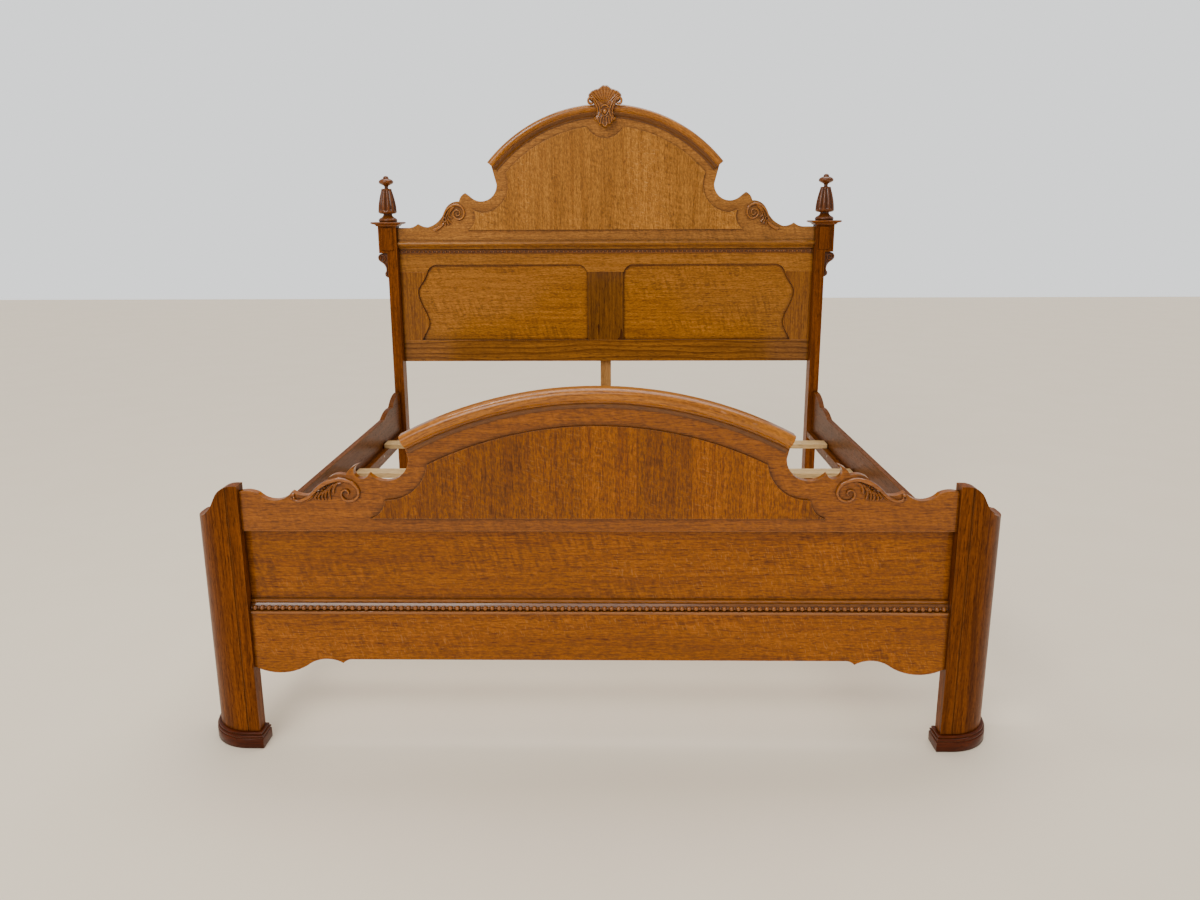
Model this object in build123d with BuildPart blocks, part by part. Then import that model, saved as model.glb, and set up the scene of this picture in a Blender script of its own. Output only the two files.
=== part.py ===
from build123d import *
import os
from math import asin, atan2, cos, degrees, hypot, radians, sin, sqrt

# Carved oak bed for a king mattress: arched headboard and footboard joined by two side
# rails that hook into the posts, with four loose slats across them.
# Millimetres. Origin on the floor at the middle of the bed, +Z up, +Y towards the headboard.

os.makedirs("parts", exist_ok=True)

# ---------------------------------------------------------------- driving dimensions
# Side rails: the clear space that the mattress lies in
rail_spacing = 1980      # between the inner faces of the two rails
rail_length = 2080       # from the footboard posts to the headboard posts
rail_thick = 22
rail_height = 190
rail_underside = 363     # above the floor
swoop_length = 330       # run of the two scallops at the headboard end
swoop_rise = 65

# Slats and the strips they lie on
ledger_size = 25         # square strip along the inside of each rail
ledger_drop = 121        # rail top edge to ledger top
ledger_end_gap = 30      # ledger end to post
slat_width = 75
slat_thick = 20
slat_count = 4
slat_gap_head = 345      # first slat's centre line to the headboard posts
slat_gap_foot = 256      # last slat's centre line to the footboard posts
support_leg = 45         # square leg under each of the two middle slats
glide_height = 6
glide_radius = 15

# Footboard
foot_post_inset = 49     # inner face of the post inside the inner face of the rail
foot_post_thick = 44
foot_post_flat = 32      # flat front of the post, up to the scored line
foot_post_height = 754
wing_radius = 112        # outer radius of the quarter-round wing
wing_wall = 26
wing_return = 28         # straight side behind the quarter round
plinth_height = 48
plinth_proud = 12
foot_board_setback = 13  # crest board and skirt behind the post front
foot_board_thick = 21
foot_crest_base = 628    # lower edge of the crest board
foot_panel_thick = 8
foot_bead_base = 394     # top edge of the skirt
foot_bead_height = 35
foot_skirt_base = 259    # straight lower edge of the skirt
skirt_tenon_low = 40     # skirt's tenons above that edge
skirt_tenon_high = 100
foot_arch_inset = 432    # arch end to post inner face
foot_arch_end = 260      # arch end above the crest board's lower edge
foot_arch_top = 385      # arch top above the crest board's lower edge

# Headboard
head_post_width = 46
head_post_depth = 76
head_post_proud = 2      # post outer face outside the rail outer face
head_post_height = 1396
cheek_width = 38         # block that widens the post under its cap
cheek_height = 122
cap_width = 136
cap_depth = 128
cap_thick = 19
head_board_setback = 28  # crest board behind the post front
head_board_thick = 24
frame_setback = 46       # frame of rails and stiles behind the post front
frame_thick = 24
head_crest_base = 1330   # lower edge of the crest board, on top of the cornice
cornice_height = 40
head_opening_top = 1219  # top of the two panel openings
head_stile_top = 1184    # joint between stiles and top rail
head_bottom_rail_top = 863
head_bottom_rail_base = 762
stile_width = 127        # outer stile at its top
centre_stile_width = 172
head_panel_thick = 8
head_panel_setback = 12  # panel behind the frame front
head_arch_inset = 430
head_arch_end = 348
head_arch_top = 598

# Details shared by both ends
arch_nose = 24           # arch moulding in front of the crest board
arch_back = 10           # and behind it
arch_cover = 36          # height of crest board edge that the moulding hides
overlay_thick = 8        # raised panels on the crest boards
carving_thick = 10       # scroll carvings
tenon_length = 22
tenon_thick = 12
crest_tenon_low = 15     # crest boards' tenons above their lower edge
crest_tenon_high = 50
fit = 0.2                # clearance all round a tenon, groove or pin
edge_ease = 1.5          # small chamfer along visible edges

# ---------------------------------------------------------------- positions they give
total_length = (plinth_proud + foot_post_thick + rail_length
                + head_post_depth / 2 + cap_depth / 2)
foot_face = -total_length / 2 + plinth_proud
foot_back = foot_face + foot_post_thick
head_face = foot_back + rail_length
rail_inner = rail_spacing / 2
rail_outer = rail_inner + rail_thick
rail_middle = rail_inner + rail_thick / 2
rail_top = rail_underside + rail_height
ledger_top = rail_top - ledger_drop

foot_half = rail_inner - foot_post_inset
wing_start = foot_half + foot_post_flat
wing_outer = wing_start + wing_radius
foot_board_face = foot_face + foot_board_setback
foot_panel_face = foot_board_face + foot_board_thick

head_post_outer = rail_outer + head_post_proud
head_half = head_post_outer - head_post_width
head_board_face = head_face + head_board_setback
frame_face = head_face + frame_setback
frame_back = frame_face + frame_thick
head_post_middle = head_face + head_post_depth / 2
block_middle = (head_half + head_post_outer + cheek_width) / 2


# ---------------------------------------------------------------- helpers
def elevation(y):
    """Plane seen from the foot end, at depth y: sketch x is X, sketch y is Z."""
    return Plane.XZ.offset(-y)


def save(piece, name):
    piece.part.label = name
    export_step(piece.part, "parts/" + name + ".step")


def save_pair(right, name):
    """Write a piece of the +X side, and its mirror image on the -X side."""
    save(right, name + "_right")
    with BuildPart() as left:
        add(mirror(right.part, about=Plane.YZ, mode=Mode.PRIVATE))
    save(left, name + "_left")


def box_between(low, high, mode=Mode.ADD):
    """Box from its lowest corner to its highest corner."""
    size = [b - a for a, b in zip(low, high)]
    with Locations(tuple((a + b) / 2 for a, b in zip(low, high))):
        Box(*size, mode=mode)


def arch_circle(half_chord, end_height, top_height):
    """Radius and centre height of the arc over a chord."""
    rise = top_height - end_height
    radius = (half_chord ** 2 + rise ** 2) / (2 * rise)
    return radius, top_height - radius


def circles_meet(centre_a, radius_a, centre_b, radius_b):
    """The upper of the two points where the circles cross."""
    dx = centre_b[0] - centre_a[0]
    dz = centre_b[1] - centre_a[1]
    gap = hypot(dx, dz)
    along = (radius_a ** 2 - radius_b ** 2 + gap ** 2) / (2 * gap)
    across = sqrt(radius_a ** 2 - along ** 2)
    middle = (centre_a[0] + along * dx / gap, centre_a[1] + along * dz / gap)
    points = [(middle[0] + s * across * dz / gap, middle[1] - s * across * dx / gap)
              for s in (1, -1)]
    return max(points, key=lambda point: point[1])


def on_circle(centre, radius, angle):
    """Point on a circle, at an angle in degrees from the sketch x axis."""
    return (centre[0] + radius * cos(radians(angle)), centre[1] + radius * sin(radians(angle)))


def angle_to(centre, point):
    """Direction of a point seen from a centre, 0 to 360 degrees."""
    return degrees(atan2(point[1] - centre[1], point[0] - centre[0])) % 360


def arcs_from(start, half, base, arcs):
    """Three-point arcs, one after another; each is (middle, end) as (inset, rise)."""
    here = start
    for middle, end in arcs:
        via = (half - middle[0], base + middle[1])
        there = (half - end[0], base + end[1])
        ThreePointArc(here, via, there)
        here = there
    return here


def square_end(corner, half, base):
    """From the last point of a shaped edge out to the post, along it, and back to the middle."""
    if half - corner[0] > 0.01:
        Line(corner, (half, corner[1]))
    Polyline((half, corner[1]), (half, base), (0, base))


# Both crest boards share one build-up: an arch, a round valley beside it, then scallops
foot_arch_radius, foot_arch_centre = arch_circle(
    foot_half - foot_arch_inset, foot_crest_base + foot_arch_end,
    foot_crest_base + foot_arch_top)
head_arch_radius, head_arch_centre = arch_circle(
    head_half - head_arch_inset, head_crest_base + head_arch_end,
    head_crest_base + head_arch_top)
foot_arch_angle = degrees(asin((foot_half - foot_arch_inset) / foot_arch_radius))
head_arch_angle = degrees(asin((head_half - head_arch_inset) / head_arch_radius))

foot_moulding_height = 52
head_moulding_height = 58
foot_board_radius = foot_arch_radius - foot_moulding_height + arch_cover
head_board_radius = head_arch_radius - head_moulding_height + arch_cover

foot_valley = (foot_half - 391, foot_crest_base + 198)
foot_valley_radius = 60
foot_valley_end = -42
foot_scallops = [((309, 172), (321, 183)), ((300, 173), (285, 154)),
                 ((259, 156), (229, 134)), ((179, 99), (141, 109)),
                 ((95, 85), (51, 104)), ((26, 111), (0, 108))]

head_valley = (head_half - 395, head_crest_base + 250)
head_valley_radius = 74
head_valley_end = -46
head_scallops = [((332, 206), (322, 213)), ((305, 201), (293, 176)),
                 ((253, 167), (223, 130)), ((193, 87), (146, 61)),
                 ((119, 64), (97, 75)), ((75, 62), (50, 58))]


def crest_board(half, base, board, valley, scallops, depth):
    """Board with an arched, scalloped top and a tenon at each end, 'depth' = (face, thickness).

    board is (radius, centre height, end angle) of the arched edge under the moulding and
    valley is (centre, radius, end angle) of the round hollow beside it."""
    radius, centre_z, end_angle = board
    hollow, hollow_radius, hollow_end = valley
    face, thick = depth
    arch_end = (radius * sin(radians(end_angle)), centre_z + radius * cos(radians(end_angle)))
    hollow_start = on_circle(hollow, hollow_radius, 180)
    with BuildPart() as piece:
        with BuildSketch(elevation(face + thick)):
            with BuildLine():
                middle = (radius * sin(radians(end_angle / 2)),
                          centre_z + radius * cos(radians(end_angle / 2)))
                ThreePointArc((0, centre_z + radius), middle, arch_end)
                Line(arch_end, hollow_start)
                bottom = on_circle(hollow, hollow_radius, (180 + 360 + hollow_end) / 2)
                valley_end = on_circle(hollow, hollow_radius, hollow_end)
                ThreePointArc(hollow_start, bottom, valley_end)
                last = arcs_from(valley_end, half, base, scallops)
                square_end(last, half, base)
                mirror(about=Plane.YZ)
            make_face()
        extrude(amount=thick)
        tenon_y = face + (thick - tenon_thick) / 2
        box_between((-half - tenon_length, tenon_y, base + crest_tenon_low),
                    (half + tenon_length, tenon_y + tenon_thick, base + crest_tenon_high))
    return piece


def raised_panel(half, base, flare, hollow, arch, depth, dip=None):
    """Raised panel that follows the crest: flared foot, hollow corner, arched top.

    flare is the foot, middle and upper end of its side edge, each as (inset, rise); hollow
    and arch are (centre, radius); dip is (half width, depth) of a notch under a carving."""
    foot, flare_middle, corner = [(half - inset, base + rise) for inset, rise in flare]
    hollow_centre, hollow_radius = hollow
    arch_centre, arch_radius = arch
    face, thick = depth
    cusp = circles_meet(hollow_centre, hollow_radius, arch_centre, arch_radius)
    hollow_foot = on_circle(hollow_centre, hollow_radius, 270)
    hollow_middle = on_circle(hollow_centre, hollow_radius,
                              (angle_to(hollow_centre, cusp) + 270) / 2)
    top_angle = 90
    if dip:
        top_angle = 90 - degrees(asin(dip[0] / arch_radius))
    top = on_circle(arch_centre, arch_radius, top_angle)
    arch_middle = on_circle(arch_centre, arch_radius,
                            (angle_to(arch_centre, cusp) + top_angle) / 2)
    with BuildPart() as piece:
        with BuildSketch(elevation(face + thick)):
            with BuildLine():
                Line((0, foot[1]), foot)
                ThreePointArc(foot, flare_middle, corner)
                Line(corner, hollow_foot)
                ThreePointArc(hollow_foot, hollow_middle, cusp)
                ThreePointArc(cusp, arch_middle, top)
                if dip:
                    dip_radius = (dip[0] ** 2 + dip[1] ** 2) / (2 * dip[1])
                    dip_centre = (0, top[1] - dip[1] + dip_radius)
                    dip_middle = on_circle(dip_centre, dip_radius,
                                           (angle_to(dip_centre, top) + 270) / 2)
                    ThreePointArc(top, dip_middle, (0, top[1] - dip[1]))
                mirror(about=Plane.YZ)
            make_face()
        extrude(amount=thick)
    return piece


def arch_moulding(arch_radius, centre_z, angle, height, face, thick):
    """Bent handrail over the crest board: rounded nose, hollow below it, groove for the board."""
    start = Plane(origin=(0, 0, centre_z), x_dir=(0, 1, 0),
                  z_dir=(cos(radians(angle)), 0, sin(radians(angle))))
    outer = arch_radius
    inner = arch_radius - height
    groove = inner + arch_cover + fit
    front = face - arch_nose
    back = face + thick + arch_back
    with BuildPart() as piece:
        with BuildSketch(start):
            with BuildLine():
                Line((face, inner), (face, groove))
                Line((face, groove), (face + thick, groove))
                Line((face + thick, groove), (face + thick, inner + 12))
                Line((face + thick, inner + 12), (back, inner + 12))
                Line((back, inner + 12), (back, outer - 6))
                ThreePointArc((back, outer - 6), (back - 1.8, outer - 1.8), (back - 6, outer))
                Line((back - 6, outer), (front + 17, outer))
                ThreePointArc((front + 17, outer), (front + 3.5, outer - 6.5),
                              (front, outer - 20))
                ThreePointArc((front, outer - 20), (front + 2.5, outer - 28),
                              (front + 9, outer - 33))
                Line((front + 9, outer - 33), (front + 9, outer - 36))
                ThreePointArc((front + 9, outer - 36), (face - 5, inner + 9), (face - 3, inner))
                Line((face - 3, inner), (face, inner))
            make_face()
        revolve(axis=Axis((0, 0, centre_z), (0, 1, 0)), revolution_arc=2 * angle)
    return piece


def scroll_carving(centre, turn, radius, length, face):
    """Plain body of a scroll carving: a volute with a leaf tail along the local -x side."""
    with BuildPart() as piece:
        with BuildSketch(elevation(face)):
            with Locations(Location((centre[0], centre[1]), turn)):
                Circle(radius)
            with BuildLine(Plane(origin=(centre[0], centre[1], 0)).rotated((0, 0, turn))):
                ThreePointArc((0, radius), (length * 0.45, radius * 0.9),
                              (length, -radius * 0.45))
                ThreePointArc((length, -radius * 0.45), (length * 0.97, -radius * 0.9),
                              (length * 0.88, -radius * 0.85))
                ThreePointArc((length * 0.88, -radius * 0.85), (length * 0.5, -radius * 0.35),
                              (0, -radius * 0.6))
                Line((0, -radius * 0.6), (0, radius))
            make_face()
        extrude(amount=carving_thick)
    return piece


# ---------------------------------------------------------------- footboard
def wing_section():
    """Plan of the post: flat front, quarter-round wing, straight return, hollow behind."""
    wing_centre = (wing_start, foot_face + wing_radius)
    inner_x = wing_outer - wing_wall
    corner = 28
    rear = foot_face + wing_radius + wing_return
    with BuildLine() as outline:
        Line((foot_half, foot_face), (wing_start, foot_face))
        ThreePointArc((wing_start, foot_face), on_circle(wing_centre, wing_radius, -45),
                      (wing_outer, foot_face + wing_radius))
        Line((wing_outer, foot_face + wing_radius), (wing_outer, rear))
        Line((wing_outer, rear), (inner_x, rear))
        Line((inner_x, rear), (inner_x, foot_back + corner))
        ThreePointArc((inner_x, foot_back + corner),
                      on_circle((inner_x - corner, foot_back + corner), corner, -45),
                      (inner_x - corner, foot_back))
        Line((inner_x - corner, foot_back), (foot_half, foot_back))
        Line((foot_half, foot_back), (foot_half, foot_face))
    return outline


# Steel plates let into the rail ends; their hooks drop over pins inside the posts
hook_plate_thick = 3
hook_plate_height = 120
hook_plate_length = 60
hook_plate_margin = 35   # plate above the rail's lower edge
hook_plate_base = rail_underside + hook_plate_margin
hook_reach = 16
hook_height = 30
hook_slot_width = 5
hook_slot_depth = 20
hook_slot_below = 14     # slot beyond the pin, downwards
hook_slot_above = 36     # and upwards, room to lift the hook over the pin
pin_radius = 3
pin_length = 24
lower_hook = 60          # pins above the rail's lower edge
upper_hook = 130
hook_heights = (rail_underside + lower_hook, rail_underside + upper_hook)


def hook_slots(y_low, y_high, pin_y):
    """Slots in a post for the rail hooks, with holes for the pins they drop on."""
    for z in hook_heights:
        box_between((rail_middle - hook_slot_width / 2, y_low, z - hook_slot_below),
                    (rail_middle + hook_slot_width / 2, y_high, z + hook_slot_above),
                    mode=Mode.SUBTRACT)
        with Locations(Location((rail_middle, pin_y, z), (0, 90, 0))):
            Cylinder(pin_radius, pin_length, mode=Mode.SUBTRACT)


foot_pin_y = foot_back - hook_reach / 2
head_pin_y = head_face + hook_reach / 2
panel_overlap = 40       # middle panel behind the crest board and the skirt
panel_tongue = 10        # and into the posts

with BuildPart() as foot_post:
    with BuildSketch(Plane.XY.offset(plinth_height)):
        add(wing_section())
        make_face()
    extrude(amount=foot_post_height - plinth_height)
    # top: level over the flat, then an S-curve down to the side of the wing
    shoulder_radius = 55
    shoulder_turn = 62
    slope_length = 25
    sweep_radius = 90
    end_slope = 12
    shoulder = (foot_half + 14, foot_post_height)
    shoulder_centre = (shoulder[0], shoulder[1] - shoulder_radius)
    slope_start = on_circle(shoulder_centre, shoulder_radius, 90 - shoulder_turn)
    slope_end = (slope_start[0] + slope_length * cos(radians(shoulder_turn)),
                 slope_start[1] - slope_length * sin(radians(shoulder_turn)))
    sweep_centre = on_circle(slope_end, sweep_radius, 90 - shoulder_turn)
    sweep_end = on_circle(sweep_centre, sweep_radius, 270 - end_slope)
    beyond = wing_outer + plinth_proud
    low_end = (beyond, sweep_end[1] - (beyond - sweep_end[0]) * sin(radians(end_slope)))
    with BuildSketch(elevation(foot_face + wing_radius + wing_return)):
        with BuildLine():
            ThreePointArc(shoulder, on_circle(shoulder_centre, shoulder_radius,
                                              90 - shoulder_turn / 2), slope_start)
            Line(slope_start, slope_end)
            ThreePointArc(slope_end, on_circle(sweep_centre, sweep_radius,
                                               270 - (shoulder_turn + end_slope) / 2),
                          sweep_end)
            Line(sweep_end, low_end)
            Line(low_end, (beyond, foot_post_height + 1))
            Line((beyond, foot_post_height + 1), (shoulder[0], foot_post_height + 1))
            Line((shoulder[0], foot_post_height + 1), shoulder)
        make_face()
    extrude(amount=wing_radius + wing_return, mode=Mode.SUBTRACT)
    # scored line where the flat meets the round
    score_side = 3.5
    with BuildSketch(Plane.XY.offset(plinth_height)):
        with Locations((wing_start, foot_face)):
            Rectangle(score_side, score_side, rotation=45)
    extrude(amount=foot_post_height - plinth_height, mode=Mode.SUBTRACT)
    # mortises and groove for what meets the inner face
    mortise_y = foot_board_face + (foot_board_thick - tenon_thick) / 2 - fit
    for low_z, high_z in ((foot_crest_base + crest_tenon_low, foot_crest_base + crest_tenon_high),
                          (foot_skirt_base + skirt_tenon_low, foot_skirt_base + skirt_tenon_high)):
        box_between((foot_half, mortise_y, low_z - fit),
                    (foot_half + tenon_length + fit, mortise_y + tenon_thick + 2 * fit,
                     high_z + fit), mode=Mode.SUBTRACT)
    box_between((foot_half, foot_panel_face - fit, foot_bead_base - panel_overlap - fit),
                (foot_half + panel_tongue + fit, foot_back, foot_crest_base + panel_overlap + fit),
                mode=Mode.SUBTRACT)
    hook_slots(foot_back - hook_slot_depth, foot_back, foot_pin_y)
save_pair(foot_post, "footboard_post")

# plinth: the post's outline made larger, with a moulded top
with BuildPart() as foot_plinth:
    for base_z, top_z, proud in ((0, 33, plinth_proud), (33, 41, plinth_proud - 3),
                                 (41, plinth_height, plinth_proud - 6)):
        with BuildSketch(Plane.XY.offset(base_z)):
            add(wing_section())
            make_face()
            offset(amount=proud, kind=Kind.INTERSECTION)
        extrude(amount=top_z - base_z)
save_pair(foot_plinth, "foot_plinth")

foot_crest = crest_board(
    foot_half, foot_crest_base, (foot_board_radius, foot_arch_centre, foot_arch_angle),
    (foot_valley, foot_valley_radius, foot_valley_end), foot_scallops,
    (foot_board_face, foot_board_thick))
save(foot_crest, "footboard_crest_board")

foot_moulding = arch_moulding(foot_arch_radius, foot_arch_centre, foot_arch_angle,
                              foot_moulding_height, foot_board_face, foot_board_thick)
save(foot_moulding, "footboard_arch_moulding")

foot_panel_gap = 50      # gap between valley edge and raised panel
foot_panel_reveal = 47   # crest board seen between moulding and raised panel
foot_arch_panel = raised_panel(
    foot_half, foot_crest_base, ((345, 37), (373, 56), (385, 85)),
    (foot_valley, foot_valley_radius + foot_panel_gap),
    ((0, foot_arch_centre), foot_arch_radius - foot_moulding_height - foot_panel_reveal),
    (foot_board_face - overlay_thick, overlay_thick))
save(foot_arch_panel, "footboard_arch_panel")

foot_scroll = scroll_carving((foot_half - 288, foot_crest_base + 104), -4, 26, 150,
                             foot_board_face)
save_pair(foot_scroll, "footboard_scroll")

# plain panel behind crest board and skirt, let into a rebate at the back of each post
with BuildPart() as foot_panel:
    box_between((-foot_half - panel_tongue, foot_panel_face, foot_bead_base - panel_overlap),
                (foot_half + panel_tongue, foot_panel_face + foot_panel_thick,
                 foot_crest_base + panel_overlap))
save(foot_panel, "footboard_middle_panel")

# bead rail: sloping strip from the skirt back to the panel, with a string of beads in it
bead_radius = 5
with BuildPart() as foot_bead_rail:
    bead_front = foot_board_face - 3
    bead_top = foot_bead_base + foot_bead_height
    with BuildSketch(Plane.YZ.offset(-foot_half + fit)):
        with BuildLine():
            Polyline((foot_panel_face, foot_bead_base), (bead_front, foot_bead_base),
                     (bead_front, foot_bead_base + 6), (bead_front + 4, foot_bead_base + 8))
            ThreePointArc((bead_front + 4, foot_bead_base + 8),
                          (bead_front + 13, foot_bead_base + 17), (bead_front + 18, bead_top - 6))
            Polyline((bead_front + 18, bead_top - 6), (bead_front + 18, bead_top),
                     (foot_panel_face, bead_top), (foot_panel_face, foot_bead_base))
        make_face()
        with Locations((bead_front + 9, foot_bead_base + 14)):
            Circle(bead_radius)
    extrude(amount=2 * (foot_half - fit))
save(foot_bead_rail, "footboard_bead_rail")

with BuildPart() as foot_skirt:
    skirt_arcs = [((255, -3), (244, -11)), ((193, 1), (145, -18)), ((75, -40), (0, -23))]
    with BuildSketch(elevation(foot_panel_face)):
        with BuildLine():
            straight_end = (foot_half - 273, foot_skirt_base)
            Line((0, foot_skirt_base), straight_end)
            skirt_end = arcs_from(straight_end, foot_half, foot_skirt_base, skirt_arcs)
            square_end(skirt_end, foot_half, foot_bead_base)
            mirror(about=Plane.YZ)
        make_face()
    extrude(amount=foot_board_thick)
    skirt_tenon_y = foot_board_face + (foot_board_thick - tenon_thick) / 2
    box_between((-foot_half - tenon_length, skirt_tenon_y, foot_skirt_base + skirt_tenon_low),
                (foot_half + tenon_length, skirt_tenon_y + tenon_thick,
                 foot_skirt_base + skirt_tenon_high))
save(foot_skirt, "footboard_skirt")

# ---------------------------------------------------------------- headboard posts
frame_tenon_y = frame_face + (frame_thick - tenon_thick) / 2
crest_tenon_y = head_board_face + (head_board_thick - tenon_thick) / 2
bottom_rail_shoulder = 20
top_rail_shoulder = 30
bottom_rail_tenon = (head_bottom_rail_base + bottom_rail_shoulder,
                     head_bottom_rail_top - bottom_rail_shoulder)
top_rail_tenon = (head_stile_top + top_rail_shoulder, head_crest_base - top_rail_shoulder)
crest_tenon = (head_crest_base + crest_tenon_low, head_crest_base + crest_tenon_high)

with BuildPart() as head_post:
    box_between((head_half, head_face, glide_height),
                (head_post_outer, head_face + head_post_depth, head_post_height))
    chamfer(head_post.edges().filter_by(Axis.Z), edge_ease)
    for tenon_y, (low_z, high_z) in ((frame_tenon_y, bottom_rail_tenon),
                                     (frame_tenon_y, top_rail_tenon),
                                     (crest_tenon_y, crest_tenon)):
        box_between((head_half, tenon_y - fit, low_z - fit),
                    (head_half + tenon_length + fit, tenon_y + tenon_thick + fit, high_z + fit),
                    mode=Mode.SUBTRACT)
    hook_slots(head_face, head_face + hook_slot_depth, head_pin_y)
save_pair(head_post, "headboard_post")

# block glued to the outer side of the post, under the cap
with BuildPart() as post_cheek:
    box_between((head_post_outer, head_face, head_post_height - cheek_height),
                (head_post_outer + cheek_width, head_face + head_post_depth, head_post_height))
    chamfer(post_cheek.faces().sort_by(Axis.X)[-1].edges().filter_by(Axis.Z), edge_ease)
save_pair(post_cheek, "post_cheek")

plaque_width = 56
plaque_height = 104
plaque_thick = 6
with BuildPart() as post_plaques:
    for side in (-1, 1):
        with BuildSketch(elevation(head_face)):
            with Locations((side * block_middle, head_post_height - cheek_height / 2 + 2)):
                Rectangle(plaque_width, plaque_height)
    extrude(amount=plaque_thick, taper=25)
save(post_plaques, "post_plaques")

dowel_radius = 5         # finial's dowel in the cap
dowel_length = 12
cap_round = 14           # rounding under the cap's edge
with BuildPart() as post_cap:
    box_between((block_middle - cap_width / 2, head_post_middle - cap_depth / 2,
                 head_post_height),
                (block_middle + cap_width / 2, head_post_middle + cap_depth / 2,
                 head_post_height + cap_thick))
    fillet(post_cap.faces().sort_by(Axis.Z)[0].edges(), cap_round)
    with Locations((block_middle, head_post_middle, head_post_height)):
        Cylinder(dowel_radius + fit, cap_thick, align=(Align.CENTER, Align.CENTER, Align.MIN),
                 mode=Mode.SUBTRACT)
save_pair(post_cap, "post_cap")

# turned finial with a dowel into the cap
finial_base = head_post_height + cap_thick


def turned(radius, height):
    """Point on the turning's outline: distance from its axis, height above the cap."""
    return (block_middle + radius, finial_base + height)


with BuildPart() as finial:
    with BuildSketch(Plane.XZ.offset(-head_post_middle)):
        with BuildLine():
            Polyline(turned(0, 0), turned(38, 0), turned(42, 3))
            ThreePointArc(turned(42, 3), turned(41, 13), turned(31, 20))
            ThreePointArc(turned(31, 20), turned(22, 27), turned(20, 34))
            Polyline(turned(20, 34), turned(36, 37), turned(42, 41), turned(42.5, 46))
            ThreePointArc(turned(42.5, 46), turned(37, 95), turned(23.5, 147))
            Polyline(turned(23.5, 147), turned(21, 149), turned(9, 149))
            ThreePointArc(turned(9, 149), turned(9.5, 158), turned(16, 167))
            ThreePointArc(turned(16, 167), turned(33, 181), turned(14, 194))
            ThreePointArc(turned(14, 194), turned(11, 201.5), turned(3, 206))
            Polyline(turned(3, 206), turned(0, 206), turned(0, 0))
        make_face()
    revolve(axis=Axis((block_middle, head_post_middle, 0), (0, 0, 1)))
    with Locations((block_middle, head_post_middle, finial_base)):
        Cylinder(dowel_radius, dowel_length, align=(Align.CENTER, Align.CENTER, Align.MAX))
save_pair(finial, "finial")

# scrolled bracket under the cheek
bracket_top = head_post_height - cheek_height
bracket_setback = 8


def out(reach, drop):
    """Point on the bracket's outline: out from the post, down from the cheek."""
    return (head_post_outer + reach, bracket_top - drop)


with BuildPart() as corbel:
    with BuildSketch(elevation(head_face + head_post_depth - bracket_setback)):
        with BuildLine():
            Polyline(out(0, 114), out(0, 0), out(25, 0))
            ThreePointArc(out(25, 0), out(47, 22), out(28, 46))
            ThreePointArc(out(28, 46), out(15, 62), out(11, 84))
            ThreePointArc(out(11, 84), out(19, 97), out(8, 111))
            Line(out(8, 111), out(0, 114))
        make_face()
    extrude(amount=head_post_depth - 2 * bracket_setback)
save_pair(corbel, "corbel")

# ---------------------------------------------------------------- headboard crest
head_crest = crest_board(
    head_half, head_crest_base, (head_board_radius, head_arch_centre, head_arch_angle),
    (head_valley, head_valley_radius, head_valley_end), head_scallops,
    (head_board_face, head_board_thick))
save(head_crest, "headboard_crest_board")

head_moulding = arch_moulding(head_arch_radius, head_arch_centre, head_arch_angle,
                              head_moulding_height, head_board_face, head_board_thick)
save(head_moulding, "headboard_arch_moulding")

head_panel_gap = 52
shell_dip = (82, 50)
head_panel_reveal = 34
head_crest_panel = raised_panel(
    head_half, head_crest_base, ((331, 47), (364, 90), (360, 136)),
    (head_valley, head_valley_radius + head_panel_gap),
    ((0, head_arch_centre), head_arch_radius - head_moulding_height - head_panel_reveal),
    (head_board_face - overlay_thick, overlay_thick), dip=shell_dip)
save(head_crest_panel, "headboard_crest_panel")

# shell carving that saddles the top of the arch
shell_thick = 24
shell_clear = 100        # beyond the shell on every side
arch_apex = head_crest_base + head_arch_top
with BuildPart() as shell:
    shell_front = head_board_face - arch_nose - shell_thick
    with BuildSketch(elevation(head_board_face)):
        with BuildLine():
            ThreePointArc((0, arch_apex + 77), (24, arch_apex + 68), (45, arch_apex + 54))
            ThreePointArc((45, arch_apex + 54), (79, arch_apex + 20), (58, arch_apex - 4))
            ThreePointArc((58, arch_apex - 4), (41, arch_apex - 20), (36, arch_apex - 38))
            ThreePointArc((36, arch_apex - 38), (47, arch_apex - 58), (38, arch_apex - 78))
            ThreePointArc((38, arch_apex - 78), (22, arch_apex - 92), (0, arch_apex - 100))
            mirror(about=Plane.YZ)
        make_face()
    extrude(amount=head_board_face - shell_front)
    add(head_moulding.part, mode=Mode.SUBTRACT)
    # nothing behind the board's face, and only the front solid is kept
    box_between((-shell_clear, head_board_face - arch_nose, arch_apex - head_moulding_height - 10),
                (shell_clear, head_board_face, arch_apex + shell_clear), mode=Mode.SUBTRACT)
save(shell, "shell_carving")

head_scroll = scroll_carving((head_half - 284, head_crest_base + 122), -36, 33, 135,
                             head_board_face)
save_pair(head_scroll, "headboard_scroll")

# ---------------------------------------------------------------- headboard frame
opening_side = head_half - stile_width
opening_bulge = opening_side + 46
panel_margin = 14        # lower panels let into the frame round their openings
centre_stile_chamfer = 5
centre_leg_width = 50
centre_leg_thick = 22
centre_leg_top = 990
bolt_radius = 4
bolt_heights = (head_bottom_rail_base + 35, head_bottom_rail_top + 60)
bolt_depth = 16          # how far a bolt reaches into the frame
bolt_head_thick = 5
bolt_head_radius = 7
leg_back = frame_back + centre_leg_thick


def bolt_hole(z):
    """Hole for a bolt of the centre leg, from the back of the frame."""
    with Locations(Location((0, frame_back, z), (90, 0, 0))):
        Cylinder(bolt_radius + fit, 2 * (bolt_depth + fit), mode=Mode.SUBTRACT)


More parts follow.
